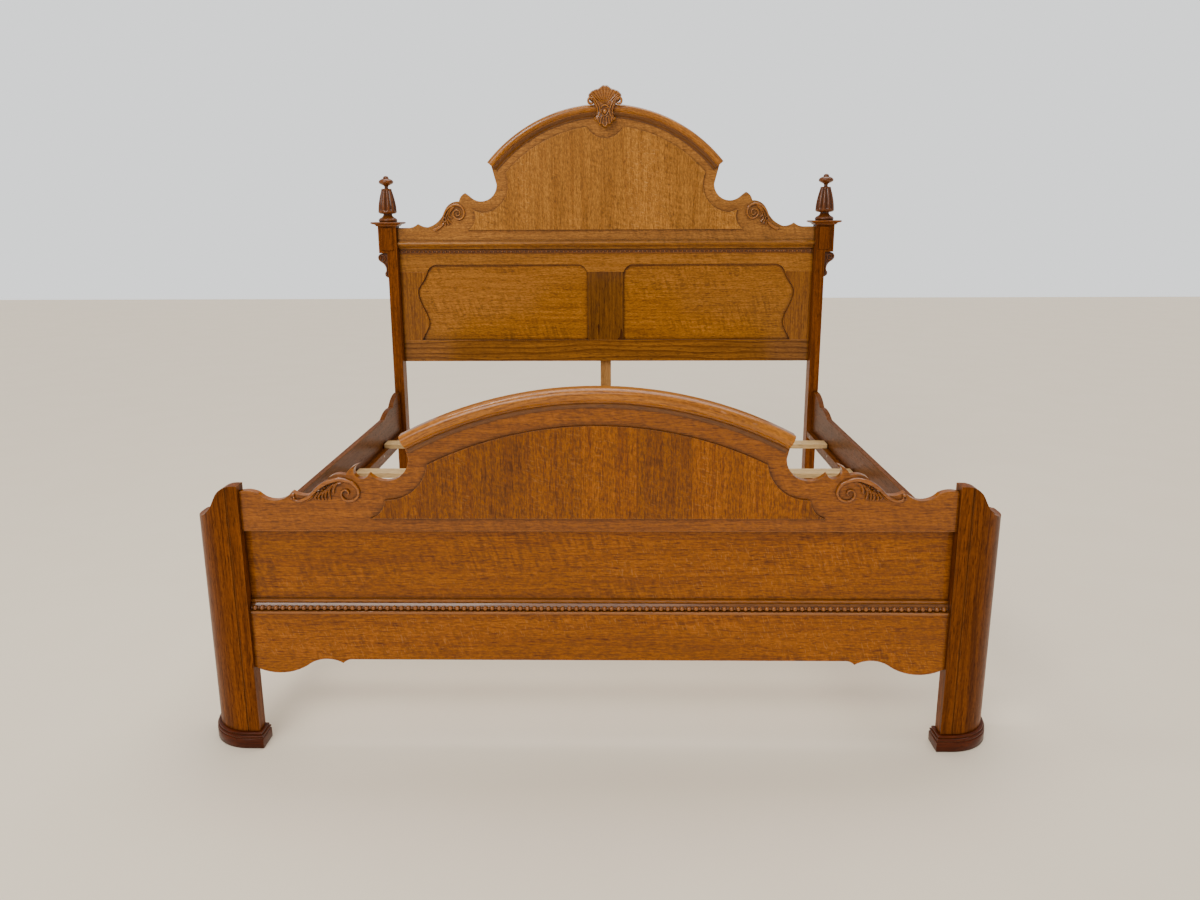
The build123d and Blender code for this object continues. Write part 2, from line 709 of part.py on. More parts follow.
def panel_slots():
    """Grooves for the two lower panels, cut across every frame piece they reach."""
    for side in (-1, 1):
        near = centre_stile_width / 2 - panel_margin - fit
        far = opening_bulge + panel_margin + fit
        box_between((min(side * near, side * far),
                     frame_face + head_panel_setback - fit,
                     head_bottom_rail_top - panel_margin - fit),
                    (max(side * near, side * far),
                     frame_face + head_panel_setback + head_panel_thick + fit,
                     head_opening_top + panel_margin + fit), mode=Mode.SUBTRACT)


with BuildPart() as top_rail:
    with BuildSketch(elevation(frame_back)):
        with BuildLine():
            spring = head_opening_top - head_stile_top
            inner = centre_stile_width / 2
            Line((0, head_stile_top), (inner, head_stile_top))
            ThreePointArc((inner, head_stile_top), (inner + 15, head_stile_top + spring * 0.65),
                          (inner + 44, head_opening_top))
            Line((inner + 44, head_opening_top), (opening_side - 46, head_opening_top))
            ThreePointArc((opening_side - 46, head_opening_top),
                          (opening_side - 16, head_stile_top + spring * 0.65),
                          (opening_side, head_stile_top))
            square_end((opening_side, head_stile_top), head_half, head_crest_base)
            mirror(about=Plane.YZ)
        make_face()
    extrude(amount=frame_thick)
    box_between((-head_half - tenon_length, frame_tenon_y, top_rail_tenon[0]),
                (head_half + tenon_length, frame_tenon_y + tenon_thick, top_rail_tenon[1]))
    panel_slots()
save(top_rail, "headboard_top_rail")

with BuildPart() as bottom_rail:
    box_between((-head_half, frame_face, head_bottom_rail_base),
                (head_half, frame_back, head_bottom_rail_top))
    box_between((-head_half - tenon_length, frame_tenon_y, bottom_rail_tenon[0]),
                (head_half + tenon_length, frame_tenon_y + tenon_thick, bottom_rail_tenon[1]))
    bolt_hole(bolt_heights[0])
    panel_slots()
save(bottom_rail, "headboard_bottom_rail")

with BuildPart() as outer_stile:
    with BuildSketch(elevation(frame_back)):
        with BuildLine():
            Polyline((opening_side + 37, head_bottom_rail_top),
                     (head_half - fit, head_bottom_rail_top),
                     (head_half - fit, head_stile_top), (opening_side, head_stile_top))
            Spline((opening_side, head_stile_top), (opening_bulge, head_stile_top - 88),
                   (opening_side + 1, head_bottom_rail_top + 94),
                   (opening_side + 37, head_bottom_rail_top),
                   tangents=((0.3, -1), (0.5, -1)))
        make_face()
    extrude(amount=frame_thick)
    panel_slots()
save_pair(outer_stile, "headboard_stile")

with BuildPart() as centre_stile:
    box_between((-centre_stile_width / 2, frame_face, head_bottom_rail_top),
                (centre_stile_width / 2, frame_back, head_stile_top))
    chamfer(centre_stile.faces().sort_by(Axis.Y)[0].edges().filter_by(Axis.Z),
            centre_stile_chamfer)
    bolt_hole(bolt_heights[1])
    panel_slots()
save(centre_stile, "headboard_centre_stile")

with BuildPart() as lower_panel:
    box_between((centre_stile_width / 2 - panel_margin, frame_face + head_panel_setback,
                 head_bottom_rail_top - panel_margin),
                (opening_bulge + panel_margin,
                 frame_face + head_panel_setback + head_panel_thick,
                 head_opening_top + panel_margin))
save_pair(lower_panel, "headboard_lower_panel")

# cornice under the crest board, in front of the top rail
with BuildPart() as cornice:
    nose_y = head_board_face - 10
    with BuildSketch(Plane.YZ.offset(-head_half + fit)):
        with BuildLine():
            Polyline((frame_face, head_crest_base - cornice_height),
                     (frame_face, head_crest_base), (nose_y + 6, head_crest_base),
                     (nose_y + 6, head_crest_base - 5))
            ThreePointArc((nose_y + 6, head_crest_base - 5), (nose_y - 4, head_crest_base - 15),
                          (nose_y + 6, head_crest_base - 25))
            Line((nose_y + 6, head_crest_base - 25), (nose_y + 6, head_crest_base - 28))
            ThreePointArc((nose_y + 6, head_crest_base - 28),
                          (nose_y + 15, head_crest_base - 32),
                          (nose_y + 19, head_crest_base - cornice_height))
            Line((nose_y + 19, head_crest_base - cornice_height),
                 (frame_face, head_crest_base - cornice_height))
        make_face()
    extrude(amount=2 * (head_half - fit))
save(cornice, "headboard_cornice")

bead_strip_height = 16
bead_strip_thick = 3
with BuildPart() as head_bead_strip:
    strip_top = head_crest_base - cornice_height - 4
    with BuildSketch(Plane.YZ.offset(-head_half + fit)):
        with BuildLine():
            Polyline((frame_face - bead_strip_thick, strip_top - bead_strip_height),
                     (frame_face, strip_top - bead_strip_height), (frame_face, strip_top),
                     (frame_face - bead_strip_thick, strip_top), close=True)
        make_face()
        with Locations((frame_face - bead_radius, strip_top - bead_strip_height / 2)):
            Circle(bead_radius)
    extrude(amount=2 * (head_half - fit))
save(head_bead_strip, "headboard_bead_strip")

# rail behind the crest board, standing on the frame
back_rail_height = 55
with BuildPart() as back_rail:
    box_between((-head_half + fit, head_board_face + head_board_thick, head_crest_base),
                (head_half - fit, frame_back, head_crest_base + back_rail_height))
save(back_rail, "headboard_back_rail")

# centre leg bolted behind the bottom rail and centre stile
with BuildPart() as centre_leg:
    box_between((-centre_leg_width / 2, frame_back, glide_height),
                (centre_leg_width / 2, leg_back, centre_leg_top))
    chamfer(centre_leg.edges().filter_by(Axis.Z), edge_ease)
    for bolt_z in bolt_heights:
        with Locations(Location((0, frame_back + centre_leg_thick / 2, bolt_z), (90, 0, 0))):
            Cylinder(bolt_radius + fit, centre_leg_thick + 2, mode=Mode.SUBTRACT)
save(centre_leg, "headboard_centre_leg")

with BuildPart() as leg_bolts:
    for bolt_z in bolt_heights:
        with Locations(Location((0, leg_back, bolt_z), (90, 0, 0))):
            Cylinder(bolt_radius, centre_leg_thick + bolt_depth,
                     align=(Align.CENTER, Align.CENTER, Align.MIN))
        with Locations(Location((0, leg_back, bolt_z), (-90, 0, 0))):
            Cylinder(bolt_head_radius, bolt_head_thick,
                     align=(Align.CENTER, Align.CENTER, Align.MIN))
save(leg_bolts, "centre_leg_bolts")

with BuildPart() as head_glides:
    glide_places = [(side * (head_half + head_post_outer) / 2, head_post_middle)
                    for side in (-1, 1)]
    glide_places.append((0, frame_back + centre_leg_thick / 2))
    for x, y in glide_places:
        with Locations((x, y, 0)):
            Cylinder(glide_radius if x else glide_radius - 5, glide_height,
                     align=(Align.CENTER, Align.CENTER, Align.MIN))
save(head_glides, "headboard_glides")

# ---------------------------------------------------------------- side rails and hardware
# countersunk screws hold the ledgers to the rails
screw_count = 6
screw_radius = 2.2
screw_head_radius = 4.5
screw_head_thick = 2.5
screw_length = 38
screw_margin = 60        # ledger end to its last screw
ledger_start = foot_back + ledger_end_gap
ledger_end = head_face - ledger_end_gap
screw_pitch = (ledger_end - ledger_start - 2 * screw_margin) / (screw_count - 1)
screw_places = [(ledger_start + screw_margin + i * screw_pitch, ledger_top - ledger_size / 2)
                for i in range(screw_count)]


def screw_shape(radius_gap, mode):
    """Screws of the +X rail, heads flush with the ledger's inner face."""
    for y, z in screw_places:
        with Locations(Location((rail_inner - ledger_size, y, z), (0, 90, 0))):
            Cylinder(screw_radius + radius_gap, screw_length + radius_gap,
                     align=(Align.CENTER, Align.CENTER, Align.MIN), mode=mode)
            Cylinder(screw_head_radius + radius_gap, screw_head_thick,
                     align=(Align.CENTER, Align.CENTER, Align.MIN), mode=mode)


with BuildPart() as side_rail:
    half_swoop = swoop_length / 2
    scallop = head_face - swoop_length
    with BuildSketch(Plane.YZ.offset(rail_inner)):
        with BuildLine():
            Polyline((scallop, rail_top), (foot_back, rail_top), (foot_back, rail_underside),
                     (head_face, rail_underside), (head_face, rail_top + swoop_rise))
            ThreePointArc((head_face, rail_top + swoop_rise),
                          (head_face - half_swoop * 0.62, rail_top + swoop_rise * 0.86),
                          (scallop + half_swoop, rail_top + swoop_rise * 0.34))
            ThreePointArc((scallop + half_swoop, rail_top + swoop_rise * 0.34),
                          (scallop + half_swoop * 0.5, rail_top + swoop_rise * 0.34),
                          (scallop, rail_top))
        make_face()
    extrude(amount=rail_thick)
    chamfer(side_rail.edges().filter_by(Axis.Y), edge_ease)
    # slots in both ends for the hook plates
    for y_end, inwards in ((foot_back, 1), (head_face, -1)):
        y_far = y_end + inwards * (hook_plate_length + fit)
        box_between((rail_middle - hook_plate_thick / 2 - fit, min(y_end, y_far),
                     hook_plate_base - fit),
                    (rail_middle + hook_plate_thick / 2 + fit, max(y_end, y_far),
                     hook_plate_base + hook_plate_height + fit), mode=Mode.SUBTRACT)
    screw_shape(fit, Mode.SUBTRACT)
save_pair(side_rail, "side_rail")

# steel plates in the rail ends; their hooks drop over pins in the posts
with BuildPart() as hook_plates:
    for side in (-1, 1):
        for y_end, inwards in ((foot_back, 1), (head_face, -1)):
            with BuildSketch(Plane.YZ.offset(side * rail_middle - hook_plate_thick / 2)):
                with Locations((y_end + inwards * hook_plate_length / 2,
                                hook_plate_base + hook_plate_height / 2)):
                    Rectangle(hook_plate_length, hook_plate_height)
                for z in hook_heights:
                    with Locations((y_end - inwards * hook_reach / 2, z + pin_radius)):
                        Rectangle(hook_reach, hook_height)
                    # throat that comes down over the pin
                    with Locations((y_end - inwards * hook_reach / 2,
                                    z - hook_height / 4 + pin_radius / 2)):
                        Rectangle(2 * (pin_radius + fit), hook_height / 2 + pin_radius,
                                  mode=Mode.SUBTRACT)
            extrude(amount=hook_plate_thick)
save(hook_plates, "rail_hook_plates")

with BuildPart() as post_pins:
    for side in (-1, 1):
        for pin_y in (foot_pin_y, head_pin_y):
            for z in hook_heights:
                with Locations(Location((side * rail_middle, pin_y, z), (0, 90, 0))):
                    Cylinder(pin_radius, pin_length)
save(post_pins, "post_pins")

# strips that carry the slats, screwed along the rails
with BuildPart() as ledger:
    box_between((rail_inner - ledger_size, ledger_start, ledger_top - ledger_size),
                (rail_inner, ledger_end, ledger_top))
    screw_shape(fit, Mode.SUBTRACT)
save_pair(ledger, "slat_ledger")

with BuildPart() as ledger_screws:
    screw_shape(0, Mode.ADD)
    mirror(about=Plane.YZ)
save(ledger_screws, "ledger_screws")

# ---------------------------------------------------------------- slats and their legs
loose = 0.3              # slats lie loose on the ledgers
slat_base = ledger_top + loose
slat_end_gap = 5
slat_half = rail_inner - slat_end_gap
first_slat = head_face - slat_gap_head
last_slat = foot_back + slat_gap_foot
slat_pitch = (first_slat - last_slat) / (slat_count - 1)
leg_tenon_radius = 12
leg_tenon = 12

for number in range(1, slat_count + 1):
    slat_y = first_slat - (number - 1) * slat_pitch
    has_leg = 1 < number < slat_count
    with BuildPart() as slat:
        box_between((-slat_half, slat_y - slat_width / 2, slat_base),
                    (slat_half, slat_y + slat_width / 2, slat_base + slat_thick))
        chamfer(slat.edges().filter_by(Axis.X), edge_ease)
        if has_leg:
            with Locations((0, slat_y, slat_base)):
                Cylinder(leg_tenon_radius + fit, 2 * (leg_tenon + fit), mode=Mode.SUBTRACT)
    save(slat, f"slat_{number}")
    if has_leg:
        with BuildPart() as leg:
            box_between((-support_leg / 2, slat_y - support_leg / 2, glide_height),
                        (support_leg / 2, slat_y + support_leg / 2, slat_base))
            chamfer(leg.edges().filter_by(Axis.Z), edge_ease)
            with Locations((0, slat_y, slat_base)):
                Cylinder(leg_tenon_radius, leg_tenon,
                         align=(Align.CENTER, Align.CENTER, Align.MIN))
        save(leg, f"support_leg_{number}")
        with BuildPart() as glide:
            with Locations((0, slat_y, 0)):
                Cylinder(glide_radius, glide_height,
                         align=(Align.CENTER, Align.CENTER, Align.MIN))
        save(glide, f"leg_glide_{number}")
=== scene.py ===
from math import cos, pi, radians, sin

import bmesh
import bpy
import numpy as np
from mathutils import Matrix, Vector


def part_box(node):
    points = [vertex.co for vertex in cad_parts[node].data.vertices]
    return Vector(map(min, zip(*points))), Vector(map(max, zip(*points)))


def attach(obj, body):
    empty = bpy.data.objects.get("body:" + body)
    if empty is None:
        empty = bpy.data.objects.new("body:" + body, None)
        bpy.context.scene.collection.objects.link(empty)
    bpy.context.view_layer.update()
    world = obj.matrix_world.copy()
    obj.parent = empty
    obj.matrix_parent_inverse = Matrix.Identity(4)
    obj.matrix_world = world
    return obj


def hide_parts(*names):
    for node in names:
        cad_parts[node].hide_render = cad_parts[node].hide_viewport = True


# Looks of a carved oak king bed, worked round its CAD frame. Metres, +Z up, +Y to the headboard.
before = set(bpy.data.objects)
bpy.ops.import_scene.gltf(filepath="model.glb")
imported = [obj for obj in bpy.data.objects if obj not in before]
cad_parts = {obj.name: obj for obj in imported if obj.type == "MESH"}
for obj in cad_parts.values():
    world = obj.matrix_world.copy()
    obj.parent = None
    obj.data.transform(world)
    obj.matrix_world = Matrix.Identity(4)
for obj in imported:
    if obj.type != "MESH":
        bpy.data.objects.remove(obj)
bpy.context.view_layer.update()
mm = 0.001
FRAME_BODY = "bed_frame"
WELD_DISTANCE = 1e-6
SLIVER_LENGTH = 1e-7


# ---------------------------------------------------------------- places read from the frame
def lowest(node):
    return np.array(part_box(node)[0])


def highest(node):
    return np.array(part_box(node)[1])


def hand(side):
    """The name's ending for side -1 or 1."""
    return "right" if side > 0 else "left"


def arc_centre(node, tall):
    """Height of the centre of a bent moulding's outer circle.

    Its ends are cut towards the centre. With outer radius r and end angle a, the box is
    2 r sin(a) wide, and its lowest point is the inner corner, (r - tall) cos(a) above."""
    low, high = lowest(node), highest(node)
    half_chord = (high[0] - low[0]) / 2
    full_rise = high[2] - low[2]
    tried = 20001
    radius = np.linspace(half_chord, 3 * half_chord, tried)
    rise = radius - (radius - tall) * np.sqrt(1 - (half_chord / radius) ** 2)
    return float(high[2] - radius[np.argmin(np.abs(rise - full_rise))])


foot_half = highest("footboard_bead_rail")[0]
foot_crest_base = lowest("footboard_crest_board")[2]
foot_board_face = highest("footboard_arch_panel")[1]
head_half = highest("headboard_cornice")[0]
head_crest_base = lowest("headboard_crest_board")[2]
head_board_face = highest("headboard_crest_panel")[1]
arch_apex = highest("headboard_arch_moulding")[2]


# ---------------------------------------------------------------- surfaces
def grid_faces(rows, columns, wrap=False):
    """Quads of a grid of points counted row by row; wrap joins the last column to the first."""
    row = np.arange(rows - 1)[:, None]
    column = np.arange(columns if wrap else columns - 1)[None, :]
    after = (column + 1) % columns
    corners = np.broadcast_arrays(row * columns + column, row * columns + after,
                                  (row + 1) * columns + after, (row + 1) * columns + column)
    return np.stack(corners, -1).reshape(-1, 4)


def sheet_of(points, wrap=False, recess=None):
    """A grid of points (rows, columns, 3) as (points, faces, recess per point)."""
    rows, columns = points.shape[:2]
    depth = np.zeros((rows, columns)) if recess is None else np.broadcast_to(recess, (rows, columns))
    return points.reshape(-1, 3), grid_faces(rows, columns, wrap).tolist(), depth.reshape(-1)


def capped(surface, rows, columns):
    """Adds an end face to both ends of a wrapped grid."""
    points, faces, recess = surface
    first = list(range(columns))
    last = list(range((rows - 1) * columns, rows * columns))
    return points, faces + [first[::-1], last], recess


def joined(surfaces):
    """Several surfaces as one; the faces count on from one to the next."""
    points, faces, recess = [], [], []
    start = 0
    for some_points, some_faces, some_recess in surfaces:
        points.append(some_points)
        faces += [[start + corner for corner in face] for face in some_faces]
        recess.append(some_recess)
        start += len(some_points)
    return np.concatenate(points), faces, np.concatenate(recess)


def make_piece(name, surface, material, nodes, sharp_angle=40):
    """Makes one closed piece, welded and facing outwards, that stands for CAD nodes."""
    points, faces, recess = surface
    mesh = bpy.data.meshes.new(name)
    mesh.from_pydata(points.tolist(), [], faces)
    # The recess values darken the piece through its material: dark glaze and painted shade.
    depth = mesh.attributes.new("recess", "FLOAT", "POINT")
    depth.data.foreach_set("value", np.ascontiguousarray(recess, dtype=np.float32))
    shape = bmesh.new()
    shape.from_mesh(mesh)
    bmesh.ops.remove_doubles(shape, verts=shape.verts, dist=WELD_DISTANCE)
    bmesh.ops.dissolve_degenerate(shape, edges=shape.edges, dist=SLIVER_LENGTH)
    bmesh.ops.recalc_face_normals(shape, faces=shape.faces)
    shape.to_mesh(mesh)
    shape.free()
    mesh.polygons.foreach_set("use_smooth", np.ones(len(mesh.polygons), dtype=bool))
    mesh.set_sharp_from_angle(angle=radians(sharp_angle))
    mesh.materials.append(material)
    piece = bpy.data.objects.new(name, mesh)
    bpy.context.scene.collection.objects.link(piece)
    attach(piece, FRAME_BODY)
    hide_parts(*nodes)


def smooth_curve(knots, steps):
    """Smooth curve through a few knots: Catmull-Rom pieces, evenly spaced by length."""
    points_per_piece = 24
    knots = np.array(knots, dtype=float)
    ends = np.vstack((2 * knots[0] - knots[1], knots, 2 * knots[-1] - knots[-2]))
    t = np.linspace(0, 1, points_per_piece, endpoint=False)[:, None, None]
    p0, p1, p2, p3 = ends[:-3], ends[1:-2], ends[2:-1], ends[3:]
    pieces = 0.5 * (2 * p1 + (p2 - p0) * t + (2 * p0 - 5 * p1 + 4 * p2 - p3) * t ** 2
                    + (3 * p1 - p0 - 3 * p2 + p3) * t ** 3)
    line = np.vstack((pieces.transpose(1, 0, 2).reshape(-1, knots.shape[1]), knots[-1:]))
    run = np.concatenate(([0], np.cumsum(np.linalg.norm(np.diff(line, axis=0), axis=1))))
    at = np.linspace(0, run[-1], steps)
    return np.stack([np.interp(at, run, line[:, axis]) for axis in range(knots.shape[1])], -1)


def taper(steps, start, end):
    """Width factor along a band: a rounded tip over the first and last shares of its length."""
    t = np.linspace(0, 1, steps)
    head = np.sqrt(np.clip(1 - (1 - np.clip(t / start, 0, 1)) ** 2, 0, 1))
    tail = np.sqrt(np.clip(1 - (1 - np.clip((1 - t) / end, 0, 1)) ** 2, 0, 1))
    return head * tail


def band(path, half_width, relief, face_y, vein=0.0, across=11):
    """Carved band or leaf on an upright face, its back flat on the face.

    Across the band s runs from -1 to 1. The point is path + s * half_width * normal, and it
    stands forward of the face by relief * ((1 - s^4)^0.5 - vein * exp(-(s / 0.3)^2))."""
    along = np.gradient(path, axis=0)
    along /= np.linalg.norm(along, axis=1, keepdims=True) + 1e-12
    normal = np.stack((-along[:, 1], along[:, 0]), -1)
    s = np.linspace(-1, 1, across)
    spread = path[:, None, :] + normal[:, None, :] * (half_width[:, None] * s)[..., None]
    rise = np.sqrt(1 - s ** 4) - vein * np.exp(-(s / 0.3) ** 2)
    forward = relief[:, None] * rise
    points = np.stack((spread[..., 0], face_y - forward, spread[..., 1]), -1)
    # Darker towards the band's edges and along its vein: dark glaze with painted shade in the creases.
    recess = np.clip(np.abs(s) ** 5 + vein * np.exp(-(s / 0.25) ** 2), 0, 1)
    return sheet_of(points, wrap=True, recess=recess)


def dome(centre, radii, relief, face_y, rings=7, around=20):
    """Bead on an upright face: at share u of its radius it stands relief * (1 - u^2)^0.5 proud."""
    u = np.sin(np.linspace(0, pi / 2, rings))[:, None]
    angle = np.linspace(0, 2 * pi, around, endpoint=False)[None, :]
    x = centre[0] + radii[0] * u * np.cos(angle)
    z = centre[1] + radii[1] * u * np.sin(angle)
    y = np.broadcast_to(face_y - relief * np.sqrt(1 - u ** 2), x.shape)
    front = np.stack((x, y, z), -1)
    back = front[-1:] * [1, 0, 1] + [0, face_y, 0]
    middle = np.broadcast_to([centre[0], face_y, centre[1]], back.shape)
    # Darker towards the bead's rim and on its back: glaze with painted shade where it meets the face.
    return sheet_of(np.concatenate((front, back, middle)), wrap=True,
                    recess=np.concatenate((u[:, 0] ** 6, [1, 1]))[:, None])


def extruded(outline, y_front, y_back, edge):
    """Slab with rounded edges: an outline in x and z, drawn in by a quarter round at both faces."""
    after = np.roll(outline, -1, axis=0) - outline
    after /= np.linalg.norm(after, axis=1, keepdims=True)
    normal = np.stack((after[:, 1], -after[:, 0]), -1)
    mitre = normal + np.roll(normal, 1, axis=0)
    mitre /= np.maximum((mitre ** 2).sum(1, keepdims=True) / 2, 0.3)
    turn = np.linspace(0, pi / 2, 4)
    inset = edge * (1 - np.concatenate((np.sin(turn), np.sin(turn[::-1]))))
    y = np.concatenate((y_front + edge * (1 - np.cos(turn)),
                        y_back - edge * (1 - np.cos(turn[::-1]))))
    ring = outline[None] - mitre[None] * inset[:, None, None]
    depth = np.broadcast_to(y[:, None, None], ring.shape[:2] + (1,))
    points = np.concatenate((ring[..., :1], depth, ring[..., 1:]), -1)
    return capped(sheet_of(points, wrap=True), len(y), len(outline))


def moulding(profile, x_low, x_high):
    """Length of moulding along x: a closed outline in y and z, with its two ends closed."""
    stations = np.array([x_low, x_high])
    points = np.empty((2, len(profile), 3))
    points[..., 0] = stations[:, None]
    points[..., 1:] = profile[None]
    return capped(sheet_of(points, wrap=True), 2, len(profile))


def turned(profile, centre, around=96, flute=None):
    """Turning about an upright axis: radius and height pairs, with optional flutes.

    flute(height, angle) is the share of the radius cut away there."""
    radius, height = profile[:, 0:1], profile[:, 1:2]
    angle = np.linspace(0, 2 * pi, around, endpoint=False)[None, :]
    cut = flute(height, angle) if flute else np.zeros((len(profile), around))
    r = radius * (1 - cut)
    points = np.stack((centre[0] + r * np.cos(angle), centre[1] + r * np.sin(angle),
                       np.broadcast_to(centre[2] + height, r.shape)), -1)
    # Flutes are darkened in proportion to their depth: dark glaze and painted shade in the hollows.
    return sheet_of(points, wrap=True, recess=np.clip(cut * 9, 0, 1))


def bead_string(x_low, x_high, y, z, pitch, pearl, bead, around=12):
    """String of pearls with a small bead between each two, as one turning about its own line.

    The radius along x is the larger of the two circles' heights above the line, and never
    less than the thread between them."""
    count = int(round((x_high - x_low) / pitch))
    step = (x_high - x_low) / count
    t = np.linspace(0, 1, 15)[:-1]
    local = (t - 0.5) * step
    end = np.abs(local) - step / 2
    radius = np.maximum(np.sqrt(np.clip(pearl ** 2 - local ** 2, 0, None)),
                        np.sqrt(np.clip(bead ** 2 - end ** 2, 0, None)))
    thread = 0.3 * bead
    radius = np.maximum(radius, thread)
    x = (x_low + (np.arange(count)[:, None] + t) * step).reshape(-1)
    x = np.concatenate((x[:1], x, x[-1:]))
    r = np.concatenate(([0], np.tile(radius, count), [0]))
    angle = np.linspace(0, 2 * pi, around, endpoint=False)[None, :]
    points = np.stack((np.broadcast_to(x[:, None], (len(x), around)),
                       y + r[:, None] * np.cos(angle), z + r[:, None] * np.sin(angle)), -1)
    # Darker where the string narrows between pearls: glaze and painted shade between the beads.
    return sheet_of(points, wrap=True, recess=np.clip(1.3 - r / (0.75 * pearl), 0, 1)[:, None])


# ---------------------------------------------------------------- materials
class Nodes:
    """Adds nodes to a tree. An input given as a socket is linked, any other value is set."""

    def __init__(self, tree):
        self.tree = tree

    def add(self, kind, inputs, **settings):
        new = self.tree.nodes.new(kind)
        for name, value in settings.items():
            setattr(new, name, value)
        for name, value in inputs.items():
            if isinstance(value, bpy.types.NodeSocket):
                self.tree.links.new(value, new.inputs[name])
            else:
                new.inputs[name].default_value = value
        return new

    def math(self, operation, a, b=0.0):
        return self.add("ShaderNodeMath", {0: a, 1: b}, operation=operation).outputs[0]

    def mix(self, share, a, b, blend="MIX"):
        return self.add("ShaderNodeMix", {0: share, 6: a, 7: b}, data_type="RGBA",
                        blend_type=blend).outputs[2]

    def between(self, value, low, high, to_low=0.0, to_high=1.0):
        """Value eased from to_low at low to to_high at high."""
        return self.add("ShaderNodeMapRange", {0: value, 1: low, 2: high, 3: to_low, 4: to_high},
                        interpolation_type="SMOOTHSTEP").outputs[0]

    def combined(self, **parts):
        """Vector made of the parts given as X, Y and Z."""
        return self.add("ShaderNodeCombineXYZ", parts).outputs[0]

    def moved(self, vector, by):
        return self.add("ShaderNodeVectorMath", {0: vector, 1: by}, operation="ADD").outputs[0]

    def brightened(self, colour, level):
        """Colour times one level for red, green and blue."""
        return self.mix(1.0, colour, self.combined(X=level, Y=level, Z=level), "MULTIPLY")

    def stretched(self, vector, scale):
        return self.add("ShaderNodeVectorMath", {0: vector, 1: scale}, operation="MULTIPLY").outputs[0]

    def noise(self, vector, scale, detail=2.0, distortion=0.0, rough=0.5):
        return self.add("ShaderNodeTexNoise", {"Vector": self.stretched(vector, scale), "Scale": 1.0,
                                               "Detail": detail, "Roughness": rough,
                                               "Distortion": distortion}).outputs[0]


def new_group(name, inputs, outputs):
    """Shader node group with named sockets; gives its Nodes, its inputs and its output node."""
    group = bpy.data.node_groups.new(name, "ShaderNodeTree")
    for socket, (kind, value) in inputs.items():
        made = group.interface.new_socket(socket, in_out="INPUT", socket_type=kind)
        made.default_value = value
    for socket, kind in outputs.items():
        group.interface.new_socket(socket, in_out="OUTPUT", socket_type=kind)
    nodes = Nodes(group)
    return group, nodes, nodes.add("NodeGroupInput", {}).outputs, nodes.add("NodeGroupOutput", {})


VECTOR, COLOUR, NUMBER = "NodeSocketVector", "NodeSocketColor", "NodeSocketFloat"


